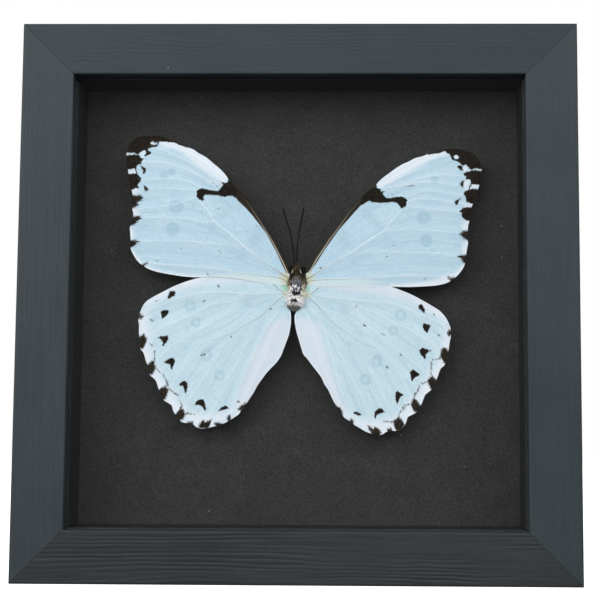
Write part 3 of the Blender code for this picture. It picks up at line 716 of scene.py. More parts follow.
foreRight = {
    "lead": [(2.7, 4.2), (4.3, 6.5), (5.9, 9.5), (8.1, 12.8), (10.0, 15.8), (12.0, 18.4), (14.3, 21.6),
             (16.9, 25.3), (19.5, 28.1), (21.3, 29.9), (23.6, 32.0), (25.2, 33.1), (26.2, 34.4),
             (28.0, 36.1), (29.9, 37.5), (32.5, 39.4), (34.7, 40.7), (36.2, 41.3), (38.1, 42.4),
             (39.9, 42.9), (41.2, 43.3), (43.1, 44.2), (45.3, 44.6), (46.6, 45.2), (48.5, 45.6),
             (51.1, 45.8), (52.3, 45.7), (54.7, 45.25), (56.3, 44.7), (57.8, 43.9), (58.8, 43.0),
             (59.5, 41.8), (59.8, 40.7), (59.9, 39.3)],
    "margin": [(59.9, 39.3), (60.1, 38.7), (59.9, 38.0), (59.8, 36.3), (59.6, 34.7), (59.2, 33.5),
               (58.7, 32.0), (58.4, 30.3), (58.0, 29.2), (57.3, 27.7), (57.0, 27.2), (56.5, 25.8),
               (56.3, 24.3), (56.0, 23.0), (55.9, 21.6), (55.6, 20.6), (55.4, 18.8), (55.3, 16.5),
               (55.5, 14.7), (55.2, 12.8), (54.9, 11.0), (54.7, 9.3), (54.4, 7.6), (53.7, 6.1), (52.6, 4.6),
               (51.1, 3.1), (49.4, 1.9)],
    "trail": [(3.3, 0.8), (6.8, 0.4), (10.0, 0.2), (15.0, 0.25), (20.0, 0.4), (30.3, 0.2), (33.6, 0.1),
              (37.3, 0.1), (41.0, 0.3), (44.8, 0.6), (47.7, 1.2), (49.4, 1.9)],
    "black": [
        [(25.5, 33.3), (25.8, 32.5), (26.3, 32.2), (27.1, 32.15), (26.8, 31.5), (27.4, 31.25),
         (28.2, 31.45), (27.6, 30.7), (28.0, 29.85), (28.7, 29.3), (30.0, 29.0), (32.2, 29.6), (34.4, 29.5),
         (35.1, 29.1), (35.6, 28.4), (35.25, 27.7), (35.4, 26.65), (34.7, 26.4), (34.1, 25.9), (33.6, 26.1),
         (33.3, 26.7), (32.2, 27.85), (31.15, 28.05), (28.7, 27.85), (26.8, 27.6), (25.1, 28.0),
         (24.4, 27.7), (23.7, 28.3), (22.8, 28.2), (21.9, 27.6), (20.6, 26.7), (21.0, 29.3), (23.0, 31.4)],
        [(46.0, 44.0), (46.7, 44.5), (48.0, 45.0), (48.5, 44.4), (49.7, 44.0), (50.0, 43.0), (50.3, 42.3),
         (51.2, 41.9), (52.2, 41.6), (53.1, 41.1), (53.6, 40.5), (54.1, 40.1), (54.7, 40.6), (55.3, 40.2),
         (55.9, 39.5), (56.8, 38.9), (57.5, 39.3), (58.2, 39.4), (61.0, 39.1), (62.0, 48.0), (46.0, 47.0)],
        [(61.0, 38.2), (59.0, 38.5), (57.2, 38.6), (55.5, 38.0), (54.3, 37.7), (54.4, 36.7), (55.1, 36.7),
         (55.0, 35.75), (56.3, 35.6), (56.6, 34.8), (56.2, 33.5), (56.0, 32.6), (56.5, 33.3), (57.0, 34.1),
         (57.9, 34.1), (61.0, 33.4)],
        [(56.0, 32.2), (55.2, 32.0), (54.5, 31.5), (54.2, 30.4), (54.8, 30.0), (55.1, 29.3), (55.0, 28.3),
         (56.2, 27.8), (56.8, 27.5), (59.0, 27.6), (60.0, 30.0), (60.0, 31.9), (57.8, 32.4)],
        [(52.0, 39.9), (53.2, 40.3), (53.7, 39.7), (53.6, 39.2), (54.1, 38.4), (53.4, 38.6), (52.6, 39.2)],
        [(54.4, 35.2), (53.6, 34.9), (53.0, 34.0), (53.3, 33.5), (53.9, 32.9), (54.0, 33.6), (54.1, 34.5)],
        [(51.2, 28.1), (51.9, 28.7), (53.3, 29.3), (52.5, 28.5), (52.3, 27.8), (52.1, 27.2), (51.5, 27.3)],
        [(57.0, 26.2), (54.1, 26.2), (53.6, 25.5), (52.8, 25.0), (53.5, 24.4), (53.7, 23.4), (54.0, 22.8),
         (54.6, 22.3), (57.0, 21.6)],
        [(42.4, 43.75), (43.5, 43.9), (45.1, 44.15), (46.4, 44.4), (46.0, 45.6), (43.0, 44.8)],
    ],
    "white": [[(51.1, 43.7), (52.4, 43.7), (52.9, 42.8), (51.9, 42.1), (51.0, 42.6)]],
    "smudge": [
        [(57.0, 18.9), (53.7, 18.4), (53.5, 17.7), (52.4, 17.7), (53.5, 16.9), (54.0, 16.0), (57.0, 14.8)],
        [(57.0, 10.9), (53.3, 10.6), (52.0, 10.0), (53.3, 9.3), (54.0, 8.0), (57.0, 7.6)],
        [(49.0, 3.5), (48.8, 3.1), (49.2, 2.6), (50.3, 2.0), (51.4, 3.2)],
    ],
    "pale": [
        [(25.0, 34.0), (26.7, 32.2), (29.9, 34.0), (33.2, 36.1), (36.6, 38.3), (39.9, 40.1), (42.5, 41.6),
         (44.8, 42.6), (47.7, 43.3), (49.5, 43.8), (48.0, 47.0), (34.0, 43.0)],
        [(54.1, 40.1), (54.7, 40.6), (55.3, 40.2), (55.9, 39.5), (55.2, 38.1), (54.5, 38.3), (53.9, 39.2)],
        [(61.0, 39.1), (56.4, 39.2), (56.4, 38.3), (61.0, 38.2)],
        [(54.9, 35.6), (56.2, 35.4), (56.1, 34.2), (55.6, 32.2), (54.7, 32.0), (54.1, 33.3), (54.2, 34.7)],
        [(56.3, 33.2), (57.0, 34.1), (57.9, 34.1), (61.0, 33.4), (60.0, 32.0), (57.7, 32.4), (56.6, 32.6)],
        [(58.8, 27.4), (55.0, 27.6), (54.0, 26.4), (58.0, 26.2)],
        [(57.0, 21.5), (54.5, 21.9), (53.4, 20.0), (54.0, 18.6), (57.0, 18.9)],
        [(57.0, 14.6), (54.2, 15.0), (53.2, 12.8), (53.8, 11.0), (57.0, 10.9)],
        [(57.0, 7.4), (54.0, 7.6), (51.6, 5.4), (48.4, 3.8), (42.0, 1.9), (36.0, 1.2), (30.0, 1.0),
         (30.0, -1.0), (52.0, -1.0)],
    ],
    "strip": [[(25.4, 33.4), (22.4, 29.6), (20.0, 26.1), (18.5, 24.5), (16.8, 22.5), (15.1, 20.6),
               (13.6, 18.9), (12.0, 16.7), (10.5, 14.5), (8.9, 12.3), (7.5, 10.0), (5.9, 7.4), (4.0, 4.8),
               (1.6, 4.4), (6.0, 12.0), (16.0, 27.0)]],
    "spots": [(41.0, 22.8, 2.2), (41.9, 15.2, 2.0), (44.5, 35.2, 1.2)],
    "scuffs": [[(30.5, 30.6), (31.1, 30.3)], [(35.0, 33.1), (38.0, 33.4)], [(31.2, 13.6), (31.8, 13.4)],
               [(29.0, 10.1), (29.5, 9.9)], [(20.8, 15.5), (21.3, 15.1)], [(7.1, 6.3), (7.9, 6.2)],
               [(13.0, 9.0), (13.4, 8.8)], [(51.0, 21.6), (51.6, 21.4)], [(41.0, 2.8), (41.6, 2.6)]],
    "veins": [
        (0.42, 0.16, 1.0, [(2.8, 2.4), (4.5, 3.4), (6.8, 4.9), (9.3, 6.4), (13.15, 8.9), (17.6, 11.3),
                           (21.3, 13.9), (25.05, 16.4), (28.0, 18.3), (30.25, 21.4), (32.1, 23.4),
                           (34.0, 25.65)]),
        (0.22, 0.6, 0.95, [(28.0, 18.3), (31.7, 18.4), (35.5, 18.6), (41.4, 18.8), (46.6, 18.4),
                           (53.0, 17.7)]),
        (0.22, 0.4, 0.95, [(17.6, 11.3), (19.8, 11.0), (22.8, 11.15), (28.0, 11.4), (33.6, 11.4),
                           (41.0, 11.2), (46.6, 11.0), (52.4, 10.0)]),
        (0.30, 0.12, 0.85, [(2.9, 1.3), (4.8, 2.1), (9.4, 2.4), (16.9, 2.7), (24.3, 3.1), (31.7, 3.5),
                            (37.3, 3.7), (42.9, 3.6), (49.2, 3.2)]),
        (0.24, 0.9, 1.0, [(35.3, 27.7), (39.2, 29.0), (44.8, 28.8), (50.3, 28.1), (56.0, 27.3)]),
        (0.24, 0.9, 1.0, [(34.5, 29.6), (36.6, 29.9), (39.2, 31.0), (42.1, 31.6), (46.6, 31.4),
                          (52.2, 30.5), (57.0, 30.0)]),
        (0.22, 0.85, 0.95, [(35.2, 26.7), (39.2, 26.2), (44.8, 25.65), (50.3, 24.9), (54.5, 24.3)]),
        (0.26, 0.6, 1.0, [(29.9, 32.2), (35.5, 33.6), (39.2, 34.4), (44.0, 34.6), (50.3, 34.0),
                          (57.0, 33.4)]),
        (0.26, 0.6, 1.0, [(28.5, 32.0), (33.6, 33.6), (39.2, 35.5), (42.9, 36.6), (48.5, 37.0),
                          (53.3, 36.8), (58.0, 36.4)]),
        (0.26, 0.7, 0.95, [(26.6, 33.0), (31.0, 35.6), (36.0, 38.6), (41.0, 41.2), (46.0, 43.2)]),
        (0.26, 0.75, 0.95, [(27.0, 34.6), (32.0, 38.1), (37.0, 41.0), (42.0, 43.1)]),
        (0.15, 0.22, 0.5, hairline((29.4, 33.8), (41.6, 39.7), 0.3)),
        (0.15, 0.18, 0.4, hairline((29.8, 32.3), (42.4, 36.3), 0.35)),
    ],
    "mint": [
        [(3.0, 1.2), (4.8, 2.2), (6.8, 2.4), (9.4, 2.6), (16.9, 2.8), (29.0, 1.6), (22.0, 0.5), (14.0, 0.2),
         (6.8, 0.0), (3.4, 0.6)],
    ],
    "straw": [[(2.4, 5.4), (3.8, 4.8), (5.4, 3.2), (4.9, 2.2), (4.2, 0.9), (2.4, 0.6)]],
    "green": [], "lilac": [], "softness": 1.0, "scuffWidth": 0.75,
    "tones": {"Sky": tint(168, 201, 222), "Mist": tint(197, 220, 233)},
}

hindLeft = {
    "lead": [(-3.4, 2.0), (-8.0, 3.6), (-12.0, 4.4), (-20.0, 4.9), (-26.0, 4.2), (-31.7, 2.96),
             (-35.0, 2.1), (-37.6, 1.2), (-40.1, 0.2), (-42.5, -1.0), (-45.1, -2.3), (-47.3, -3.5),
             (-49.0, -4.6), (-50.0, -5.7), (-50.7, -7.0), (-51.2, -8.3)],
    "margin": [(-51.2, -8.3), (-51.5, -9.6), (-51.8, -10.9), (-51.5, -12.4), (-51.5, -14.6), (-51.3, -16.3),
               (-51.0, -18.3), (-50.8, -20.35), (-50.0, -21.3), (-49.5, -22.6), (-49.0, -24.25),
               (-48.4, -25.9), (-47.9, -27.6), (-47.6, -28.8), (-46.6, -29.6), (-45.6, -30.6),
               (-44.9, -32.6), (-44.4, -33.9), (-43.6, -35.6), (-42.85, -36.9), (-41.4, -37.8),
               (-40.3, -38.6), (-39.95, -39.9), (-39.1, -41.5), (-38.2, -42.5), (-37.2, -43.7),
               (-36.2, -44.1), (-33.9, -44.3), (-32.8, -45.1), (-31.3, -45.8), (-29.5, -46.0),
               (-28.0, -45.6), (-25.7, -45.0), (-23.5, -44.3), (-21.7, -43.4), (-20.2, -42.4),
               (-18.7, -41.35), (-17.75, -40.05), (-16.8, -38.75), (-16.1, -37.6)],
    "trail": [(-2.3, -7.9), (-2.05, -9.0), (-2.0, -11.2), (-2.25, -13.5), (-2.7, -15.7), (-3.5, -17.9),
              (-4.4, -20.35), (-5.0, -22.0), (-5.7, -23.3), (-6.8, -24.8), (-8.3, -26.3), (-9.8, -28.0),
              (-11.25, -30.0), (-12.7, -32.1), (-13.85, -34.3), (-15.0, -36.0), (-16.1, -37.6)],
    "black": [
        [(-41.4, -1.6), (-40.1, -1.4), (-39.7, -1.95), (-39.9, -2.9), (-41.0, -3.25), (-41.9, -4.0),
         (-42.2, -3.8), (-41.9, -2.7)],
        [(-44.3, -8.0), (-43.2, -7.7), (-41.9, -7.7), (-41.8, -8.3), (-42.5, -9.2), (-43.9, -10.4),
         (-44.0, -9.6), (-44.4, -8.6)],
        [(-45.4, -16.6), (-44.0, -16.3), (-42.1, -16.0), (-41.9, -17.2), (-42.7, -18.3), (-43.6, -19.4),
         (-43.4, -18.3), (-44.0, -17.4), (-44.7, -16.8)],
        [(-43.1, -24.7), (-41.7, -23.7), (-40.4, -23.1), (-39.7, -23.7), (-39.7, -24.8), (-40.2, -25.9),
         (-40.5, -27.1), (-40.8, -26.1), (-41.0, -25.0), (-42.1, -24.9)],
        [(-38.2, -32.0), (-37.6, -31.3), (-36.9, -30.9), (-36.1, -30.6), (-35.4, -31.3), (-35.3, -32.6),
         (-35.6, -33.9), (-36.0, -34.7), (-36.2, -33.5), (-36.3, -32.6), (-37.1, -32.1)],
        [(-33.2, -38.5), (-32.25, -37.3), (-30.95, -36.5), (-30.1, -36.6), (-29.65, -37.6), (-29.4, -39.1),
         (-29.4, -40.3), (-30.0, -39.3), (-30.6, -38.4), (-31.9, -38.2)],
        [(-25.0, -40.2), (-24.3, -39.3), (-22.8, -38.5), (-21.95, -39.4), (-23.1, -39.7)],
    ],
    "white": [],
    "smudge": [
        [(-52.2, -9.1), (-50.9, -8.9), (-50.2, -9.6), (-50.6, -10.4), (-52.2, -10.5)],
        [(-52.0, -17.0), (-50.5, -15.8), (-49.9, -15.1), (-49.3, -15.9), (-48.9, -17.2), (-49.1, -18.4),
         (-49.5, -19.6), (-50.3, -20.3), (-52.0, -19.4)],
        [(-49.2, -26.0), (-47.8, -24.8), (-47.0, -24.0), (-46.2, -24.4), (-45.9, -26.0), (-46.2, -27.4),
         (-47.0, -28.6), (-48.6, -28.2)],
        [(-45.0, -34.0), (-43.4, -32.6), (-42.4, -32.1), (-41.5, -33.3), (-41.7, -35.0), (-42.4, -36.6),
         (-43.6, -36.8)],
        [(-39.6, -41.9), (-38.0, -40.2), (-37.2, -39.0), (-36.1, -40.3), (-35.7, -41.7), (-36.6, -42.9),
         (-38.2, -43.4)],
        [(-31.6, -45.4), (-30.9, -43.6), (-30.3, -43.3), (-29.3, -43.7), (-28.2, -43.4), (-27.2, -43.0),
         (-27.6, -44.3), (-28.6, -46.3)],
        [(-22.3, -42.4), (-21.7, -41.5), (-21.1, -42.0), (-21.2, -43.6), (-22.2, -43.6)],
        [(-18.9, -39.6), (-18.2, -38.8), (-17.2, -38.2), (-16.3, -37.1), (-16.2, -38.6), (-17.6, -40.4)],
        [(-26.6, -44.2), (-24.8, -43.9), (-23.9, -44.4), (-25.2, -45.6)],
        [(-35.2, -43.9), (-33.6, -43.8), (-33.0, -45.2), (-34.6, -45.0)],
    ],
    "pale": [
        [(-52.5, -8.0), (-48.6, -8.2), (-48.2, -13.0), (-47.6, -18.0), (-46.6, -24.0), (-43.4, -29.4),
         (-40.8, -33.2), (-37.9, -37.2), (-34.6, -40.0), (-29.0, -41.6), (-22.0, -40.4), (-17.0, -36.4),
         (-15.0, -38.0), (-28.0, -48.0), (-45.0, -40.0), (-53.0, -22.0)],
        [(-30.0, 4.0), (-31.8, 2.0), (-38.0, 0.1), (-43.0, -2.4), (-49.0, -6.0), (-52.0, -6.0),
         (-42.0, 2.0)],
    ],
    "strip": [],
    "spots": [(-34.9, -6.1, 1.9), (-32.9, -11.5, 1.6), (-29.4, -22.3, 2.0), (-25.0, -28.8, 1.8)],
    "scuffs": [
        [(-48.5, -18.0), (-46.3, -19.6)], [(-46.2, -21.0), (-46.2, -24.0)],
        [(-45.8, -26.3), (-44.3, -27.9)],
        [(-43.6, -28.2), (-42.5, -30.0), (-41.7, -32.2)],
        [(-41.3, -33.0), (-39.8, -34.6), (-38.4, -35.3)],
        [(-37.6, -37.0), (-36.9, -38.8)], [(-35.6, -41.2), (-33.9, -41.4)],
        [(-33.2, -41.4), (-32.6, -41.3)], [(-47.5, -10.6), (-47.1, -11.3)], [(-46.2, -4.9), (-45.6, -4.5)],
        [(-8.8, -7.2), (-8.6, -7.0)], [(-21.4, -16.4), (-21.1, -16.3)], [(-30.8, -22.3), (-29.6, -22.0)],
        [(-30.8, -4.9), (-30.2, -4.7)], [(-18.9, -37.4), (-18.4, -37.3)], [(-25.8, 0.3), (-25.6, 0.1)],
    ],
    "veins": [
        (0.36, 0.09, 0.12, [(-8.0, 0.8), (-7.1, 0.5), (-6.3, -0.6), (-4.9, -1.5), (-4.3, -2.4),
                            (-3.4, -2.7)]),
        (0.30, 0.8, 1.0, [(-5.0, -1.8), (-9.4, -2.1), (-16.8, -2.3), (-23.1, -1.8), (-28.0, -1.8),
                          (-31.7, -2.1), (-36.2, -3.1), (-39.9, -4.0), (-44.7, -6.0), (-50.0, -8.1)]),
        (0.26, 0.8, 1.0, [(-17.4, -2.5), (-19.1, -3.2), (-20.5, -4.6), (-24.3, -5.1), (-28.0, -6.0),
                          (-31.7, -7.7), (-35.4, -9.6), (-39.9, -11.4), (-44.3, -13.5), (-48.05, -15.3),
                          (-50.6, -16.6)]),
        (0.24, 0.8, 1.0, [(-20.0, -4.9), (-20.5, -6.4), (-21.7, -7.9), (-24.3, -9.75), (-28.0, -12.0),
                          (-31.7, -13.8), (-35.4, -16.1), (-39.1, -18.3), (-42.8, -21.3), (-45.1, -23.9),
                          (-47.4, -26.6)]),
        (0.28, 0.10, 0.2, [(-4.3, -2.7), (-6.3, -4.4), (-8.5, -6.4), (-10.3, -8.1), (-12.4, -9.9),
                           (-16.8, -12.4), (-19.8, -14.4), (-25.0, -16.6), (-29.0, -17.9)]),
        (0.24, 0.5, 1.0, [(-29.0, -17.9), (-31.7, -19.2), (-33.9, -21.3), (-36.2, -24.6), (-38.4, -28.3),
                          (-40.2, -30.9), (-42.9, -35.2)]),
        (0.24, 0.4, 1.0, [(-20.9, -16.4), (-22.0, -17.9), (-24.3, -20.2), (-25.7, -22.8), (-28.0, -26.1),
                          (-30.2, -29.8), (-32.4, -33.2), (-34.3, -36.3), (-35.8, -39.1), (-37.2, -42.0)]),
        (0.22, 0.6, 1.0, [(-13.1, -11.6), (-15.7, -16.8), (-17.2, -20.2), (-19.05, -24.25), (-21.3, -28.7),
                          (-23.5, -33.2), (-25.7, -37.3), (-28.6, -43.4)]),
        (0.30, 0.9, 1.0, [(-6.4, -8.3), (-9.4, -12.0), (-11.6, -16.1), (-13.85, -21.3), (-15.7, -25.7),
                          (-17.6, -30.2), (-19.4, -35.4), (-21.2, -41.4)]),
        (0.26, 0.9, 1.0, [(-4.2, -8.8), (-6.4, -13.0), (-8.4, -18.0), (-10.6, -23.6), (-13.4, -29.6),
                          (-16.6, -36.6)]),
    ],
    "green": [[(-5.6, 0.5), (-3.0, 1.0), (-2.6, -1.3), (-4.3, -1.2)]],
    "mint": [], "softness": 2.6, "scuffWidth": 1.5,
    "tones": {"Sky": tint(179, 210, 226), "Mist": tint(207, 227, 236)},
    "straw": [[(-4.6, -1.7), (-3.0, -1.6), (-3.0, -2.9), (-4.3, -2.9)]],
    "lilac": [
        [(-8.0, 1.6), (-20.0, 1.2), (-30.0, 0.8), (-38.0, -1.6), (-46.0, -5.2), (-50.5, -7.4), (-46.0, 0.0),
         (-30.0, 5.4), (-12.0, 5.6)],
        [(-4.6, -9.6), (-9.4, -12.6), (-13.4, -20.6), (-17.0, -29.6), (-20.0, -38.6), (-17.0, -41.0),
         (-10.0, -29.0), (-4.0, -22.0), (-0.5, -12.0)],
    ],
}

hindRight = {
    "lead": [(3.4, 1.6), (7.5, 2.5), (12.0, 3.0), (20.0, 2.8), (26.0, 1.7), (30.6, 0.15), (33.2, -0.8),
             (36.5, -2.1), (39.9, -3.8), (42.5, -5.25), (44.7, -6.55), (46.4, -7.7), (48.0, -9.5),
             (49.0, -11.2), (49.7, -13.05)],
    "margin": [(49.7, -13.05), (49.9, -14.7), (49.8, -16.2), (49.45, -17.7), (49.15, -19.9), (48.8, -21.8),
               (48.2, -23.65), (47.7, -25.3), (46.7, -26.1), (46.2, -27.0), (45.6, -28.7), (45.0, -30.3),
               (44.3, -32.0), (43.65, -33.0), (42.3, -34.1), (41.5, -34.8), (40.8, -36.5), (40.15, -38.1),
               (38.55, -40.45), (36.7, -41.5), (35.85, -42.05), (35.4, -43.5), (34.7, -44.8), (32.6, -46.4),
               (30.6, -46.3), (28.9, -46.8), (27.6, -47.6), (25.7, -47.6), (24.1, -47.3), (22.0, -46.5),
               (20.2, -45.4), (18.3, -44.3), (17.2, -43.35), (15.7, -42.4), (14.8, -41.5), (13.8, -40.0)],
    "trail": [(-0.4, -8.2), (-0.85, -9.5), (-0.75, -11.75), (-0.2, -14.4), (0.55, -17.0), (1.35, -19.6),
              (2.1, -21.8), (3.4, -23.3), (4.9, -25.3), (6.4, -27.2), (7.9, -29.2), (9.0, -31.5),
              (10.1, -33.1), (11.05, -35.0), (12.0, -37.0), (12.9, -38.5), (13.8, -40.0)],
    "black": [
        [(40.2, -5.4), (40.8, -6.0), (41.5, -7.7), (41.3, -8.2), (40.4, -7.6), (39.3, -6.4), (39.6, -5.9)],
        [(41.0, -11.7), (42.1, -12.1), (43.3, -12.4), (42.9, -13.1), (42.5, -14.0), (42.3, -14.65),
         (41.5, -14.2), (40.8, -13.2)],
        [(39.9, -20.3), (40.6, -19.6), (41.5, -20.0), (43.4, -20.5), (42.3, -21.05), (41.7, -21.8),
         (41.35, -23.35), (40.6, -22.2), (39.9, -21.2)],
        [(36.7, -27.4), (37.4, -26.8), (38.4, -27.2), (39.9, -28.3), (38.75, -28.7), (38.0, -29.2),
         (37.4, -30.4), (37.1, -30.3), (36.8, -29.0)],
        [(32.0, -34.2), (32.6, -33.7), (33.5, -34.2), (34.5, -35.0), (33.5, -35.5), (33.0, -36.1),
         (32.4, -37.7), (32.1, -37.0), (31.9, -35.5)],
        [(25.4, -40.4), (26.7, -39.1), (27.6, -39.6), (28.7, -40.4), (27.6, -40.6), (26.5, -40.8),
         (25.7, -41.6), (25.4, -42.6), (25.2, -41.3)],
        [(18.5, -40.75), (19.2, -40.3), (20.2, -40.8), (21.0, -41.4), (19.8, -41.5)],
    ],
    "white": [],
    "smudge": [
        [(48.6, -15.0), (49.2, -13.8), (50.4, -13.8), (50.4, -15.6), (49.2, -15.7)],
        [(46.1, -22.6), (46.7, -21.5), (46.5, -20.0), (47.6, -19.4), (48.6, -20.0), (49.6, -21.8),
         (48.8, -23.4), (47.7, -24.7), (47.0, -23.4)],
        [(42.1, -30.4), (43.2, -29.2), (43.6, -28.4), (44.4, -29.5), (45.6, -30.5), (44.8, -32.2),
         (43.6, -33.2), (42.8, -31.8)],
        [(37.2, -36.5), (37.9, -35.6), (38.7, -36.6), (39.6, -37.6), (40.4, -38.6), (39.4, -40.2),
         (38.0, -40.2), (37.2, -38.6)],
        [(31.3, -43.2), (32.3, -42.4), (32.9, -41.7), (33.8, -42.7), (34.8, -44.2), (33.9, -45.9),
         (32.6, -46.8), (31.5, -44.9)],
        [(23.1, -45.0), (23.8, -45.0), (24.6, -45.7), (25.6, -45.2), (26.6, -45.7), (27.4, -47.2),
         (26.2, -48.0), (24.8, -48.0), (23.6, -46.4)],
        [(17.3, -43.0), (17.9, -42.5), (18.5, -43.0), (18.4, -44.6), (17.4, -44.2)],
        [(12.4, -38.4), (14.2, -39.1), (14.9, -40.3), (15.0, -41.8), (13.4, -40.6)],
        [(29.2, -45.8), (30.6, -45.5), (31.0, -46.6), (29.4, -47.0)],
    ],
    "pale": [
        [(50.6, -13.0), (47.2, -13.6), (46.8, -18.0), (45.4, -23.0), (43.0, -27.8), (40.4, -31.4),
         (38.2, -34.6), (35.4, -38.2), (31.0, -42.0), (24.0, -43.2), (18.4, -41.8), (13.4, -38.0),
         (12.0, -40.0), (26.0, -50.0), (40.0, -44.0), (51.0, -24.0)],
        [(26.0, 1.6), (30.0, -0.9), (36.0, -2.9), (42.0, -6.2), (47.6, -10.2), (50.6, -12.0), (44.0, -3.0)],
    ],
    "strip": [],
    "spots": [(33.6, -9.0, 1.9), (31.3, -14.2, 1.5), (25.9, -24.0, 1.9), (22.3, -30.0, 1.8)],
    "scuffs": [
        [(46.2, -22.9), (45.0, -23.3), (44.0, -23.6)],
        [(43.5, -24.2), (43.4, -26.0), (43.2, -28.0)],
        [(42.2, -30.6), (40.5, -31.2)],
        [(39.8, -31.9), (39.1, -33.4), (38.1, -35.0)],
        [(37.2, -37.9), (35.2, -38.1)], [(34.7, -38.4), (34.2, -39.3)], [(33.6, -40.3), (32.9, -41.3)],
        [(31.2, -43.4), (29.5, -43.3), (28.0, -43.5)],
        [(45.7, -15.4), (46.0, -15.7)], [(44.3, -8.8), (44.5, -9.0)], [(21.8, -12.4), (22.3, -12.6)],
        [(27.8, -15.3), (28.3, -15.6)], [(33.4, -21.7), (33.8, -22.0)], [(29.0, -25.6), (29.5, -26.0)],
        [(19.0, -6.2), (19.4, -6.3)],
    ],
    "veins": [
        (0.36, 0.09, 0.12, [(7.0, -0.2), (6.2, -0.9), (5.4, -1.4), (4.3, -2.3), (2.8, -2.2)]),
        (0.30, 0.8, 1.0, [(6.0, -2.6), (10.9, -3.4), (16.1, -3.9), (22.0, -4.5), (28.0, -4.8), (31.3, -5.4),
                          (35.0, -6.7), (38.75, -8.2), (44.3, -10.6), (49.4, -13.0)]),
        (0.26, 0.8, 1.0, [(16.1, -3.9), (17.6, -4.9), (19.05, -6.2), (23.5, -7.5), (28.7, -10.1),
                          (33.2, -12.3), (37.6, -14.4), (42.1, -17.0), (45.8, -19.9), (48.2, -22.4)]),
        (0.24, 0.8, 1.0, [(19.0, -6.2), (19.8, -8.4), (20.5, -10.3), (22.8, -12.5), (26.5, -15.1),
                          (29.5, -17.7), (33.2, -21.05), (36.9, -23.65), (41.7, -27.4), (44.4, -30.6)]),
        (0.28, 0.10, 0.2, [(2.8, -2.4), (4.6, -4.1), (6.3, -5.7), (8.3, -7.85), (10.9, -11.0),
                           (15.7, -14.5), (19.05, -17.0), (23.5, -19.0), (27.4, -20.3)]),
        (0.24, 0.5, 1.0, [(27.4, -20.3), (29.1, -21.4), (31.3, -24.4), (33.5, -28.1), (35.4, -32.6),
                          (37.3, -36.7), (38.8, -39.6)]),
        (0.24, 0.4, 1.0, [(19.05, -17.0), (20.5, -20.7), (22.8, -24.8), (25.4, -29.6), (27.6, -34.1),
                          (29.8, -38.5), (31.7, -41.9), (33.4, -45.2)]),
        (0.22, 0.6, 1.0, [(5.0, -5.8), (8.3, -12.9), (10.9, -15.5), (13.8, -21.05), (16.8, -27.0),
                          (19.8, -32.9), (22.0, -38.1), (25.2, -45.6)]),
        (0.30, 0.9, 1.0, [(4.9, -7.3), (7.15, -10.6), (9.0, -14.7), (10.9, -20.3), (12.4, -25.9),
                          (14.2, -33.3), (16.8, -38.9), (18.0, -42.6)]),
        (0.26, 0.9, 1.0, [(3.0, -8.6), (4.6, -13.0), (6.4, -18.6), (8.0, -24.4), (10.4, -30.4),
                          (13.6, -38.0)]),
    ],
    "green": [[(2.2, 0.3), (4.2, 0.0), (4.0, -1.6), (2.2, -1.8)]],
    "mint": [], "softness": 2.6, "scuffWidth": 1.5,
    "tones": {"Sky": tint(179, 210, 226), "Mist": tint(207, 227, 236)},
    "straw": [[(2.4, -1.9), (4.0, -1.8), (3.8, -2.9), (2.4, -3.0)]],
    "lilac": [
        [(7.0, 0.4), (16.0, -1.6), (28.0, -2.8), (36.0, -4.8), (44.0, -8.8), (49.5, -12.6), (47.0, -5.0),
         (36.0, 1.0), (12.0, 4.0)],
        [(3.0, -9.8), (7.0, -12.4), (9.8, -20.2), (11.6, -27.0), (13.8, -34.4), (16.2, -39.8),
         (13.4, -43.0), (7.0, -31.0), (0.0, -22.0), (-2.0, -10.0)],
    ],
}
wings = {"forewing_left": foreLeft, "forewing_right": foreRight,
         "hindwing_left": hindLeft, "hindwing_right": hindRight}


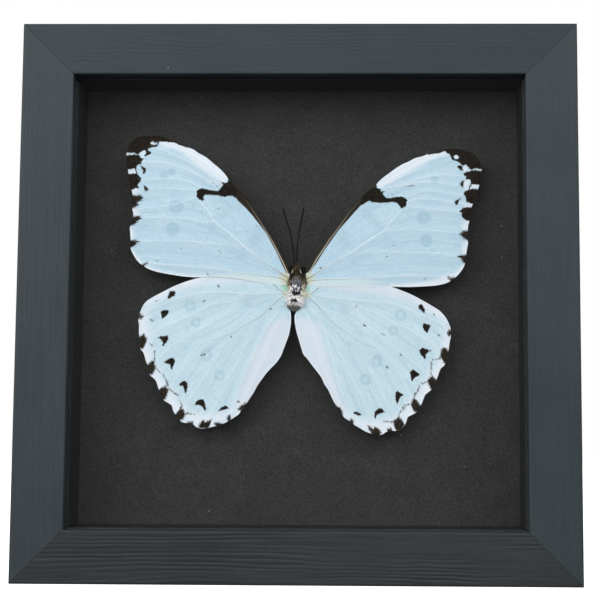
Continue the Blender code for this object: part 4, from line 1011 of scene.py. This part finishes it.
def makeWingScales():
    # the colour of a wing, from the distances and shares that each vertex carries
    tree, ins, outs = newGroup("wingScales", {
        "Sky": ("Color", tint(172, 205, 226)), "Mist": ("Color", tint(202, 224, 236)),
        "Milk": ("Color", tint(230, 236, 245)), "Lilac": ("Color", tint(216, 224, 235)),
        "Soot": ("Color", tint(18, 13, 10)), "Umber": ("Color", tint(58, 49, 36)),
    }, {"Color": "Color", "Roughness": "Float", "Height": "Float"})

    def carried(name):
        return put(tree, "Attribute", attribute_name=name).outputs["Fac"]

    place = objectPlace(tree)
    rows = put(tree, "TexCoord").outputs["UV"]
    streak = cloudy(tree, stretched(tree, rows, (190.0, 7.0, 1.0)), 1.0, 3.0, 0.6)
    broad = cloudy(tree, stretched(tree, rows, (34.0, 3.0, 1.0)), 1.0, 2.0, 0.5)
    fleck = cloudy(tree, place, 2300.0, 3.0, 0.7)
    patch = cloudy(tree, place, 95.0, 3.0, 0.6)
    ragged = cloudy(tree, place, 1700.0, 3.0, 0.7)
    milkShare = calc(tree, "MULTIPLY_ADD", spread(tree, streak, 0.3, 0.7), 0.45,
                     calc(tree, "MULTIPLY", spread(tree, broad, 0.35, 0.7), 0.30))
    milkShare = calc(tree, "MULTIPLY_ADD", spread(tree, fleck, 0.36, 0.64), 0.80, milkShare)
    milkShare = calc(tree, "MULTIPLY_ADD", carried("outward"), 0.25, calc(tree, "SUBTRACT", milkShare, 0.32))
    colour = mixColour(tree, milkShare, ins["Sky"], ins["Mist"])
    colour = mixColour(tree, calc(tree, "MULTIPLY", spread(tree, patch, 0.5, 0.8), 0.25),
                       colour, tint(176, 205, 225))
    # painted shade: the wing is darker along the creases midway between veins; the spots are the wing's own
    # colour
    for name, share, tone in (("creaseShade", 0.35, tint(163, 192, 208)), ("spot", 0.5, tint(146, 182, 204))):
        colour = mixColour(tree, calc(tree, "MULTIPLY", carried(name), share), colour, tone)
    colour = mixColour(tree, spread(tree, carried("spot"), 0.0, -1.0), colour, ins["Milk"])
    lilac = calc(tree, "MULTIPLY_ADD", calc(tree, "SUBTRACT", streak, 0.5), 3.0, carried("lilac"))
    colour = mixColour(tree, spread(tree, lilac, -1.2, 1.6, 0.0, 0.85), colour, ins["Lilac"])
    soft = calc(tree, "MULTIPLY_ADD", calc(tree, "SUBTRACT", streak, 0.5), 1.6, carried("pale"))
    colour = mixColour(tree, spread(tree, soft, -0.8, 0.9, 0.0, 0.85), colour, ins["Milk"])
    halo = calc(tree, "MULTIPLY", spread(tree, carried("vein"), 0.45, 0.1), 0.22)
    colour = mixColour(tree, halo, colour, ins["Milk"])
    colour = mixColour(tree, spread(tree, carried("rim"), 0.55, 0.15, 0.0, 0.75), colour, ins["Milk"])
    dots = put(tree, "TexVoronoi", {"Vector": place, "Scale": 620.0}).outputs
    dot = calc(tree, "MULTIPLY", spread(tree, dots["Distance"], 0.13, 0.04),
               spread(tree, put(tree, "SeparateColor", {0: dots["Color"]}).outputs[0], 0.84, 0.92))
    colour = mixColour(tree, calc(tree, "MULTIPLY", dot, 0.45), colour, tint(110, 122, 132))
    for name, share, tone in (("mint", 0.55, tint(222, 236, 230)), ("green", 0.8, tint(150, 203, 176)),
                              ("straw", 0.8, tint(208, 200, 156))):
        colour = mixColour(tree, calc(tree, "MULTIPLY", carried(name), share), colour, tone)
    frayed = calc(tree, "MULTIPLY_ADD", calc(tree, "SUBTRACT", ragged, 0.5), 1.1, carried("scuff"))
    scuff = calc(tree, "MULTIPLY", spread(tree, frayed, 0.24, 0.04), 0.8)
    colour = mixColour(tree, scuff, colour, tint(62, 56, 54))
    ribs = put(tree, "ValToRGB", {0: calc(tree, "DIVIDE", carried("costa"), 1.6)})
    stops = ribs.color_ramp.elements
    for at, shade in ((0.0, (76, 68, 52)), (0.19, (80, 72, 56)), (0.26, (216, 210, 192)),
                      (0.35, (210, 204, 188)), (0.42, (50, 43, 36)), (0.62, (48, 42, 35)),
                      (1.0, (86, 80, 70))):
        stop = stops[0] if at == 0.0 else stops.new(at) if at < 1.0 else stops[-1]
        stop.color = tint(*shade)
        stop.position = at
    strip = mixColour(tree, carried("bar"), ribs.outputs[0], tint(34, 28, 22))
    strip = mixColour(tree, calc(tree, "MULTIPLY", streak, 0.4), strip, tint(60, 50, 38))
    colour = mixColour(tree, spread(tree, carried("strip"), -0.12, 0.12), colour, strip)
    fuzzy = calc(tree, "MULTIPLY_ADD", calc(tree, "SUBTRACT", ragged, 0.5), 1.5, carried("smudge"))
    fuzzy = calc(tree, "MULTIPLY_ADD", calc(tree, "SUBTRACT", streak, 0.5), 2.0, fuzzy)
    umber = mixColour(tree, spread(tree, fleck, 0.35, 0.7), ins["Soot"], ins["Umber"])
    colour = mixColour(tree, spread(tree, fuzzy, -0.40, 0.28), colour, umber)
    edge = calc(tree, "MULTIPLY_ADD", calc(tree, "SUBTRACT", ragged, 0.5), 1.25, carried("black"))
    mark = spread(tree, edge, -0.26, 0.04)
    soot = mixColour(tree, calc(tree, "MULTIPLY", spread(tree, fleck, 0.45, 0.7), carried("outward")),
                     ins["Soot"], tint(60, 51, 37))
    colour = mixColour(tree, mark, colour, soot)
    tree.links.new(colour, outs["Color"])
    tree.links.new(calc(tree, "MULTIPLY_ADD", fleck, 0.15, 0.55), outs["Roughness"])
    tree.links.new(calc(tree, "MULTIPLY_ADD", fleck, 0.5, streak), outs["Height"])
    return tree


wingScales = makeWingScales()


def steadyEdge(line, reach):
    # the same line without its small teeth, with both ends where they were
    weights = np.hanning(reach * 2 + 3)[1:-1]
    weights /= weights.sum()
    before = 2 * line[0] - line[reach:0:-1]
    after = 2 * line[-1] - line[-2:-reach - 2:-1]
    padded = np.vstack([before, line, after])
    return np.stack([np.convolve(padded[:, k], weights, mode="valid") for k in range(2)], 1)


def wingPlaces(wing, settings):
    rows, columns = settings["rows"], settings["columns"]
    lead = smoothLine(wing["lead"], rows)
    trail = smoothLine(wing["trail"], rows)
    margin = smoothLine(wing["margin"], columns)
    calm = steadyEdge(margin, columns // 12)
    u = np.linspace(0, 1, rows)[:, None, None]
    v = np.linspace(0, 1, columns)[None, :, None]
    root = lead[0] * (1 - v[0]) + trail[0] * v[0]
    ruled = (1 - v) * lead[:, None] + v * trail[:, None] + (1 - u) * root[None] + u * calm[None]
    corners = (1 - u) * ((1 - v) * lead[0] + v * trail[0]) + u * ((1 - v) * lead[-1] + v * trail[-1])
    outer = np.clip((u - 0.86) / 0.14, 0, 1) ** 1.5
    return ruled - corners + outer * (margin - calm)[None]


def veinDistances(flat, wing):
    return np.sort([segmentDistance(flat, smoothLine(vein[3], 40)) for vein in wing["veins"]], axis=0)


def wingHeight(flat, wing, settings, near):
    # how far each place stands in front of the wing's own level, in mm
    reach = np.abs(flat[:, 0]) / 55.0
    chord = flat[:, 1] - (24.0 if wing["strip"] else -22.0)
    arch = np.sin(np.clip(reach, 0, 1) * math.pi) - 0.4 * reach ** 2
    camber = settings["camber"] * arch - 0.00035 * chord ** 2
    sunk = settings["sag"] * (1 - np.exp(-(near / 1.8) ** 2))
    ridge = settings["ridge"] * np.exp(-(near / 0.35) ** 2)
    ripple = 0.10 * (softNoise(flat[:, 0] / 5 + 30, flat[:, 1] / 5 + 30, 5) - 0.5)
    tucked = 0.0 if wing["strip"] else 0.55 * np.clip((flat[:, 1] + 7) / 7, 0, 1)   # up against the forewing
    return camber - sunk + ridge + ripple + tucked


def eyeSpots(flat, wing):
    # faint discs on the forewings; rings with a pale middle on the hindwings
    share = np.zeros(len(flat))
    for x, z, radius in wing["spots"]:
        away = np.hypot(flat[:, 0] - x, flat[:, 1] - z) / radius
        if wing["strip"]:
            share += np.clip((1.08 - away) / 0.16, 0, 1) * (0.72 + 0.28 * np.clip(away, 0, 1) ** 3)
        else:
            share += 0.9 * np.exp(-((away - 0.80) / 0.20) ** 2) + 0.55 * np.exp(-((away - 0.34) / 0.16) ** 2)
            share -= 0.65 * np.exp(-(away / 0.24) ** 2)
    return share


def toWorld(flat, ahead, level):
    # local mm on the wing to metres in the frame; ahead is towards the glass
    across = flat[..., 0] * mm + bodyPlace["x"]
    up = flat[..., 1] * mm + bodyPlace["z"]
    return np.stack([across, level - ahead * mm, up], -1)


def makeWing(name, wing, settings):
    grid = wingPlaces(wing, settings)
    flat = grid.reshape(-1, 2)
    ranked = veinDistances(flat, wing)
    level = forewingDepth if name.startswith("fore") else hindwingDepth
    ahead = wingHeight(flat, wing, settings, ranked[0])
    piece = layGrid("skin_" + name, toWorld(flat, ahead, level).reshape(*grid.shape[:2], 3))
    # painted shade: a darker line midway between two veins, where the skin folds
    creaseShade = np.exp(-((ranked[1] - ranked[0]) / 0.55) ** 2) * np.clip((ranked[0] - 0.8) / 1.5, 0, 1)
    paintPoints(piece, "vein", ranked[0])
    paintPoints(piece, "creaseShade", creaseShade)
    paintPoints(piece, "outward", np.clip(np.linalg.norm(flat, axis=1) / 60, 0, 1))
    bleach = deepest(flat, wing["white"])
    paintPoints(piece, "black", np.minimum(deepest(flat, wing["black"]), -bleach))
    paintPoints(piece, "pale", np.maximum(deepest(flat, wing["pale"]), bleach) / wing["softness"])
    for kind in ("lilac", "smudge", "strip"):
        paintPoints(piece, kind, deepest(flat, wing[kind]))
    paintPoints(piece, "costa", segmentDistance(flat, wing["lead"]))
    paintPoints(piece, "bar", np.clip((flat[:, 1] - 12) / 18, 0, 1) ** 0.7)
    paintPoints(piece, "rim", segmentDistance(flat, wing["margin"] + wing["trail"][::-1]))
    scuffed = np.min([segmentDistance(flat, line) for line in wing["scuffs"]], axis=0)
    uneven = 0.35 + 1.5 * softNoise(flat[:, 0] * 1.1 + 70, flat[:, 1] * 1.1 + 70, 9)
    paintPoints(piece, "scuff", scuffed / (uneven * wing["scuffWidth"]))
    paintPoints(piece, "spot", eyeSpots(flat, wing))
    for kind, soft in (("green", 1.1), ("straw", 2.4), ("mint", 1.4)):
        paintPoints(piece, kind, np.clip(deepest(flat, wing[kind]) / soft + 0.5, 0, 1))
    pick(piece)
    solid = piece.modifiers.new("skin", "SOLIDIFY")
    solid.thickness = settings["thickness"] * mm
    solid.offset = 0
    bpy.ops.object.modifier_apply(modifier=solid.name)
    bpy.ops.object.shade_smooth_by_angle(angle=math.radians(50))

    def scaled(tree):
        made = useGroup(tree, wingScales, **wing["tones"])
        return {"Base Color": made["Color"], "Roughness": made["Roughness"], "Height": made["Height"]}

    material = newMaterial("scales_" + name, scaled, 0.6, bump=0.00003, Specular_IOR_Level=0.08)
    finishPiece(piece, material, name.split("_")[0], name)
    return level


def veinLook(tree):
    tone = put(tree, "Attribute", attribute_name="tone").outputs["Fac"]
    ramp = put(tree, "ValToRGB", {0: tone})
    ramp.color_ramp.elements[0].color = tint(24, 18, 14)
    ramp.color_ramp.elements[1].color = tint(234, 242, 248)
    for at, shade in ((0.09, (74, 62, 44)), (0.22, (104, 98, 86)), (0.5, (184, 186, 182))):
        ramp.color_ramp.elements.new(at).color = tint(*shade)
    fine = cloudy(tree, objectPlace(tree), 1600.0, 2.0, 0.6)
    dulled = mixColour(tree, calc(tree, "MULTIPLY", fine, 0.15), ramp.outputs[0], tint(170, 170, 172))
    return {"Base Color": dulled, "Height": fine}


def segmentShare(piece, line):
    # how far along a line each vertex of a piece lies, from 0 to 1
    co = np.array([v.co for v in piece.data.vertices]) / mm
    flat = np.stack([co[:, 0] - bodyPlace["x"] / mm, co[:, 2] - bodyPlace["z"] / mm], 1)
    nearest = np.argmin(((flat[:, None] - line[None]) ** 2).sum(2), axis=1)
    return nearest / (len(line) - 1)


def makeVeins(name, wing, level, settings, material):
    tubes = []
    for k, (width, toneRoot, toneTip, points) in enumerate(wing["veins"]):
        line = smoothLine(points, 44)
        ahead = wingHeight(line, wing, settings, np.zeros(len(line))) + 0.02
        share = np.linspace(0, 1, len(line))
        radii = width * mm * (0.33 - 0.14 * share) * np.clip((1 - share) * 18 + 0.25, 0, 1)
        made = tube("vein", toWorld(line, ahead, level), radii, settings["veinSides"], flatten=0.6)
        along = segmentShare(made, line)
        marked = np.clip(0.5 - deepest(line, wing["black"] + wing["smudge"]) * 2.5, 0, 1)
        tone = (toneRoot + (toneTip - toneRoot) * np.clip(share * 2.2, 0, 1)) * marked
        paintPoints(made, "tone", np.interp(along, share, tone))
        tubes.append(made)
    veins = joinPieces("veins_" + name, tubes)
    pick(veins)
    bpy.ops.object.shade_smooth()
    finishPiece(veins, material, name.split("_")[0])


veinMaterial = newMaterial("wing_veins", veinLook, 0.5, bump=0.00001, Specular_IOR_Level=0.35)
for name, wing in wings.items():
    level = makeWing(name, wing, wingSettings)
    makeVeins(name, wing, level, wingSettings, veinMaterial)
    print(name, "made")


# the body: hair is made of short tapering slivers, and each piece carries its colours in a layer

bodySettings = {
    "lean": math.radians(3.3),
    "thoraxHairs": 5200,
    "headHairs": 900,
    "tuftHairs": 900,
    "stubHairs": 700,
    "bodyLevel": forewingDepth / mm + 0.5,      # y of the body's middle, mm
}
inkTone = (24, 21, 19)
barkTone = (58, 47, 34)
oliveTone = (112, 102, 74)
ashTone = (128, 130, 142)
pearlTone = (244, 243, 248)
creamTone = (232, 226, 208)
slateTone = (92, 98, 90)
mossTone = (86, 92, 80)


def paintColours(piece, colours):
    layer = piece.data.attributes.new("coat", "FLOAT_COLOR", "POINT")
    linear = np.array([tint(*c) for c in colours], np.float32)
    layer.data.foreach_set("color", linear.reshape(-1))


def makeFur(name, roots, ways, lengths, widths, colours):
    # each hair is a three-sided sliver with one bend, closed at its root
    count = len(roots)
    ways = ways / np.linalg.norm(ways, axis=1)[:, None]
    side = np.cross(ways, (0.31, 0.22, 0.92))
    side /= np.linalg.norm(side, axis=1)[:, None]
    up = np.cross(ways, side)
    points = []
    for k in range(3):
        angle = 2 * math.pi * k / 3
        points.append(roots + widths[:, None] * (math.cos(angle) * side + math.sin(angle) * up))
    bendAt = roots + ways * lengths[:, None] * 0.55
    for k in range(3):
        angle = 2 * math.pi * k / 3
        points.append(bendAt + 0.7 * widths[:, None] * (math.cos(angle) * side + math.sin(angle) * up))
    points.append(roots + ways * lengths[:, None] + (0, 0.16, -0.06) * lengths[:, None])
    verts = np.stack(points, 1).reshape(-1, 3) * mm
    sliver = [(0, 1, 4, 3), (1, 2, 5, 4), (2, 0, 3, 5), (3, 4, 6), (4, 5, 6), (5, 3, 6), (0, 2, 1)]
    faces = [tuple(7 * h + k for k in face) for h in range(count) for face in sliver]
    mesh = bpy.data.meshes.new(name)
    mesh.from_pydata(verts.tolist(), [], faces)
    piece = bpy.data.objects.new(name, mesh)
    scene.collection.objects.link(piece)
    paintColours(piece, np.repeat(np.array(colours), 7, axis=0))
    pick(piece)
    bpy.ops.object.shade_smooth()
    return piece


def leaned(local, settings):
    # body mm (x, y ahead of the body's middle is negative, z) turned by the lean and put in place
    lean = settings["lean"]
    x = local[:, 0] * math.cos(lean) + local[:, 2] * math.sin(lean)
    z = local[:, 2] * math.cos(lean) - local[:, 0] * math.sin(lean)
    x = x + bodyPlace["x"] / mm
    z = z + bodyPlace["z"] / mm
    return np.stack([x, local[:, 1] + settings["bodyLevel"], z], 1)


def drawn(dice, *tones):
    # the tone whose share of the hairs holds the dice: each comes with its upper limit
    return next(tone for limit, tone in tones if dice < limit)


def thoraxTone(x, z, dice):
    # the fur's colour by its place: dark in front, grey in the middle, pearly behind
    patch = float(softNoise(np.array(x * 2.9 + 40), np.array(z * 2.3 + 40), 61))
    behind = abs(x + 0.75) < 0.95 and abs(z + 4.35) < 0.38
    if behind or abs(x + 0.5) < 0.7 and abs(z + 2.55) < 0.22:
        return inkTone
    if z < -5.7:
        return drawn(dice, (0.8, slateTone), (1, creamTone))
    if z < -2.6:
        return inkTone if patch > 0.76 else drawn(dice, (0.70, pearlTone), (0.86, creamTone), (1, ashTone))
    if z > 2.4:
        return drawn(dice, (0.25, inkTone), (0.55, barkTone), (0.8, oliveTone), (1, ashTone))
    if abs(x + 0.2) > 1.75:
        if patch > 0.62:
            return inkTone
        if 0.6 < z < 1.8:
            return creamTone if abs(x + 0.2) < 2.2 else inkTone
        if z > 0:
            return drawn(dice, (0.2, barkTone), (0.8, creamTone), (1, oliveTone))
        return drawn(dice, (0.6, creamTone), (0.9, pearlTone), (1, barkTone))
    if z > 0.9:
        return drawn(dice, (0.55, ashTone), (0.85, barkTone), (1, inkTone))
    if patch > 0.60:
        return inkTone
    if patch < 0.42:
        return pearlTone
    return drawn(dice, (0.75, ashTone), (1, inkTone))


def headTone(x, z, dice):
    return drawn(dice, (0.5, inkTone), (0.85, barkTone), (1, oliveTone))


def stubTone(x, z, dice):
    return drawn(dice, (0.7, slateTone), (0.85, ashTone), (1, mossTone))


def makeLump(name, centre, half, toneOf, bumps, seed, settings, taper=0.0):
    # a rounded body part: a sphere primitive pulled to size, narrowed to one end and made uneven
    deselectAll()
    bpy.ops.mesh.primitive_uv_sphere_add(segments=48, ring_count=32, radius=1)
    piece = bpy.context.object
    piece.name = name
    piece.data.name = name
    unit = np.array([v.co for v in piece.data.vertices])
    wide = 1 - taper * np.clip(-unit[:, 2], 0, 1)
    local = unit * np.array(half) * np.stack([wide, wide, np.ones(len(unit))], 1) + np.array(centre)
    broad = softNoise(unit[:, 0] * 4 + 9, unit[:, 2] * 4 + 9, seed)
    small = softNoise(unit[:, 1] * 7 + 9, unit[:, 2] * 8 + 9, seed)
    local += unit * (bumps * (broad + small - 1))[:, None]
    piece.data.vertices.foreach_set("co", (leaned(local, settings) * mm).reshape(-1).astype(np.float32))
    dice = np.random.default_rng(seed).random(len(unit))
    paintColours(piece, [toneOf(p[0], p[2], d) for p, d in zip(local, dice)])
    pick(piece)
    bpy.ops.object.shade_smooth()
    return piece


def furOn(name, count, centre, half, toneOf, length, width, sweep, seed, settings, taper=0.0):
    # hair rooted over the part of an egg that faces the glass and the sides
    rng = np.random.default_rng(seed)
    unit = rng.normal(size=(count * 3, 3))
    unit /= np.linalg.norm(unit, axis=1)[:, None]
    unit = unit[unit[:, 1] < 0.45][:count]
    wide = 1 - taper * np.clip(-unit[:, 2], 0, 1)
    local = unit * np.array(half) * np.stack([wide, wide, np.ones(len(unit))], 1) + np.array(centre)
    ways = unit * (0.55, 0.4, 0.4) + np.array(sweep) + rng.normal(scale=0.22, size=unit.shape)
    lengths = length * (0.6 + 0.8 * rng.random(len(unit)))
    widths = width * (0.7 + 0.6 * rng.random(len(unit)))
    colours = [toneOf(p[0], p[2], d) for p, d in zip(local, rng.random(len(unit)))]
    shade = 0.78 + 0.44 * rng.random(len(unit))
    colours = np.clip(np.array(colours) * shade[:, None], 0, 245)
    return makeFur(name, leaned(local, settings), ways, lengths, widths, colours)


def coatLookWithGlow(tree):
    coat = put(tree, "Attribute", attribute_name="coat").outputs["Color"]
    fine = cloudy(tree, objectPlace(tree), 3500.0, 2.0, 0.6)
    shown = mixColour(tree, spread(tree, fine, 0.3, 0.7, 0.0, 0.12), coat, tint(60, 56, 52))
    # painted light: the coat colour also feeds the glow
    return {"Base Color": shown, "Emission Color": shown, "Height": fine}


def shellLook(tree):
    fine = cloudy(tree, objectPlace(tree), 2400.0, 3.0, 0.6)
    return {"Base Color": mixColour(tree, fine, tint(7, 6, 6), tint(24, 19, 15)), "Height": fine}


def makeTufts(settings):
    # longer hairs that spread from the flanks over the roots of the wings
    rng = np.random.default_rng(77)
    groups = [   # x, z, direction x, z, count share, length, tone
        (-2.3, -2.4, -1.0, -0.10, 0.16, 0.9, pearlTone), (-2.7, -4.4, -0.55, -0.9, 0.16, 0.8, pearlTone),
        (2.0, -2.6, 0.9, -0.25, 0.12, 0.8, creamTone), (1.9, -4.6, 0.35, -0.9, 0.14, 0.8, pearlTone),
        (-2.3, 1.2, -1.0, 0.45, 0.12, 1.2, oliveTone), (1.9, 1.6, 1.0, 0.35, 0.12, 1.1, oliveTone),
        (-2.3, 0.0, -1.0, -0.1, 0.09, 0.8, creamTone), (1.9, 0.0, 1.0, -0.1, 0.09, 0.8, creamTone),
    ]
    roots, ways, lengths, colours = [], [], [], []
    for x, z, dx, dz, share, length, tone in groups:
        count = int(share * settings["tuftHairs"])
        roots.append(np.stack([x + rng.normal(scale=0.35, size=count), -0.4 - 1.2 * rng.random(count),
                               z + rng.normal(scale=0.75, size=count)], 1))
        ways.append(np.stack([dx + rng.normal(scale=0.3, size=count), -0.15 + 0.3 * rng.random(count),
                              dz + rng.normal(scale=0.35, size=count)], 1))
        lengths.append(length * (0.5 + 0.7 * rng.random(count)))
        dice = 0.72 + 0.4 * rng.random(count)
        colours.append(np.clip(np.array(tone)[None] * dice[:, None], 0, 245))
    lengths = np.concatenate(lengths)
    return makeFur("tufts", leaned(np.vstack(roots), settings), np.vstack(ways), lengths,
                   np.full(len(lengths), 0.045), np.vstack(colours))


def makeBody(settings):
    # painted light: the hair glows a little, in place of the light passed on from hair to hair
    coat = newMaterial("body_hair", coatLookWithGlow, 0.7, bump=0.00002, Specular_IOR_Level=0.08,
                       Emission_Strength=0.34)      # light passed on from hair to hair
    shell = newMaterial("dark_shell", shellLook, 0.55, bump=0.00001, Specular_IOR_Level=0.08)
    made = []
    for centre, half, share, length, seed in (((-0.3, 0.0, -0.3), (2.1, 2.4, 4.3), 0.62, 0.42, 41),
                                              ((-0.45, 0.0, -4.3), (2.5, 2.1, 1.9), 0.38, 0.75, 45)):
        made.append(makeLump("thorax_core", centre, half, thoraxTone, 0.15, seed, settings))
        made.append(furOn("thorax_fur", int(share * settings["thoraxHairs"]), centre, half, thoraxTone,
                          length, 0.06, (0, -0.1, -0.8), seed + 1, settings))
    finishPiece(joinPieces("thorax_coat", made + [makeTufts(settings)]), coat, "body_hair", "thorax")

    stubCentre, stubHalf = (-0.75, 0.2, -6.2), (2.1, 1.2, 1.35)
    stub = makeLump("stub", stubCentre, stubHalf, stubTone, 0.12, 51, settings, taper=0.25)
    stubFur = furOn("stub_fur", settings["stubHairs"], stubCentre, stubHalf, stubTone, 0.55, 0.05,
                    (0, -0.1, -0.9), 52, settings, taper=0.25)
    finishPiece(joinPieces("abdomen_stub", [stub, stubFur]), coat, "body_hair", "abdomen")

    headCentre, headHalf = (-0.55, -0.1, 5.35), (1.7, 1.5, 1.45)
    head = makeLump("head_core", headCentre, headHalf, headTone, 0.08, 43, settings)
    headFur = furOn("head_fur", settings["headHairs"], headCentre, headHalf, headTone, 0.5, 0.045,
                    (0, -0.2, 0.35), 44, settings)
    palps = []
    for x in (-0.92, -0.42):
        route = leaned(np.array([(x, -0.5, 6.2), (x * 0.98, -0.7, 7.0), (x * 0.9 - 0.03, -0.8, 7.7),
                                 (x * 0.8 - 0.06, -0.8, 8.3)]), settings) * mm
        palp = tube("palp", smoothLine(route, 14), np.linspace(0.34, 0.07, 14) * mm, 10)
        paintColours(palp, [barkTone] * len(palp.data.vertices))
        palps.append(palp)
    for mirror, x in ((-1, -1.85), (1, 0.78)):      # the pale crescents beside the eyes
        bend = leaned(np.array([(x + mirror * 0.45, -1.05, 4.35), (x + mirror * 0.12, -1.45, 4.65),
                                (x, -1.5, 5.15), (x - mirror * 0.28, -1.4, 5.7)]), settings) * mm
        crescent = tube("crescent", smoothLine(bend, 16), 0.11 * mm * np.sin(np.linspace(0.25, 2.9, 16)), 8)
        paintColours(crescent, [(196, 186, 172)] * len(crescent.data.vertices))
        palps.append(crescent)
    finishPiece(joinPieces("head_coat", [head, headFur] + palps), coat, "body_hair", "head")

    eyes = []
    for x in (-2.2, 1.5):
        deselectAll()
        spot = leaned(np.array([(x, -0.25, 5.75)]), settings)[0] * mm
        bpy.ops.mesh.primitive_uv_sphere_add(segments=32, ring_count=20, radius=1.22 * mm, location=spot)
        eye = bpy.context.object
        eye.scale = (0.86, 1.0, 1.0)
        bpy.ops.object.transform_apply(location=True, rotation=True, scale=True)
        bpy.ops.object.shade_smooth()
        eyes.append(eye)
    finishPiece(joinPieces("eyes", eyes), shell, "dark_shell")
    return shell


antennaRoutes = {   # x, z and how far ahead of the wings, in mm
    "left": [(-0.75, 6.6, 0.6), (-0.80, 7.5, 0.4), (-1.15, 10.0, 0.8), (-1.6, 13.4, 1.1), (-2.35, 17.5, 1.2),
             (-3.65, 21.8, 1.2), (-4.95, 25.7, 1.0)],
    "right": [(-0.25, 6.6, 0.6), (-0.18, 7.5, 0.4), (-0.15, 10.6, 0.8), (0.0, 14.0, 1.1), (0.55, 18.0, 1.2),
              (1.3, 22.4, 1.2), (2.05, 26.3, 1.0)],
}


def makeAntenna(side, route, material):
    # fine joints along the stalk, and a slim club at its end
    line = smoothLine(route, 220)
    share = np.linspace(0, 1, len(line))
    club = np.clip((share - 0.80) / 0.12, 0, 1)
    joints = 1 + 0.10 * np.cos(np.arange(len(line)) * 2 * math.pi / 5)
    radii = (0.23 + 0.05 * club * club * (3 - 2 * club)) * joints * np.clip((1 - share) * 40 + 0.35, 0, 1)
    level = (forewingDepth + hindwingDepth) / 2
    places = np.stack([line[:, 0] * mm + bodyPlace["x"], level - line[:, 2] * mm,
                       line[:, 1] * mm + bodyPlace["z"]], 1)
    piece = tube("antenna_stalk_" + side, places, radii * mm, 10)
    pick(piece)
    bpy.ops.object.shade_smooth()
    finishPiece(piece, material, "dark_shell", "antenna_" + side)


darkShell = makeBody(bodySettings)
for side, route in antennaRoutes.items():
    makeAntenna(side, route, darkShell)
dressNode("mounting_pad", paper("pad_foam", tint(60, 60, 58), tint(90, 90, 88), 900.0, 0.2))
print("body and antennae made")
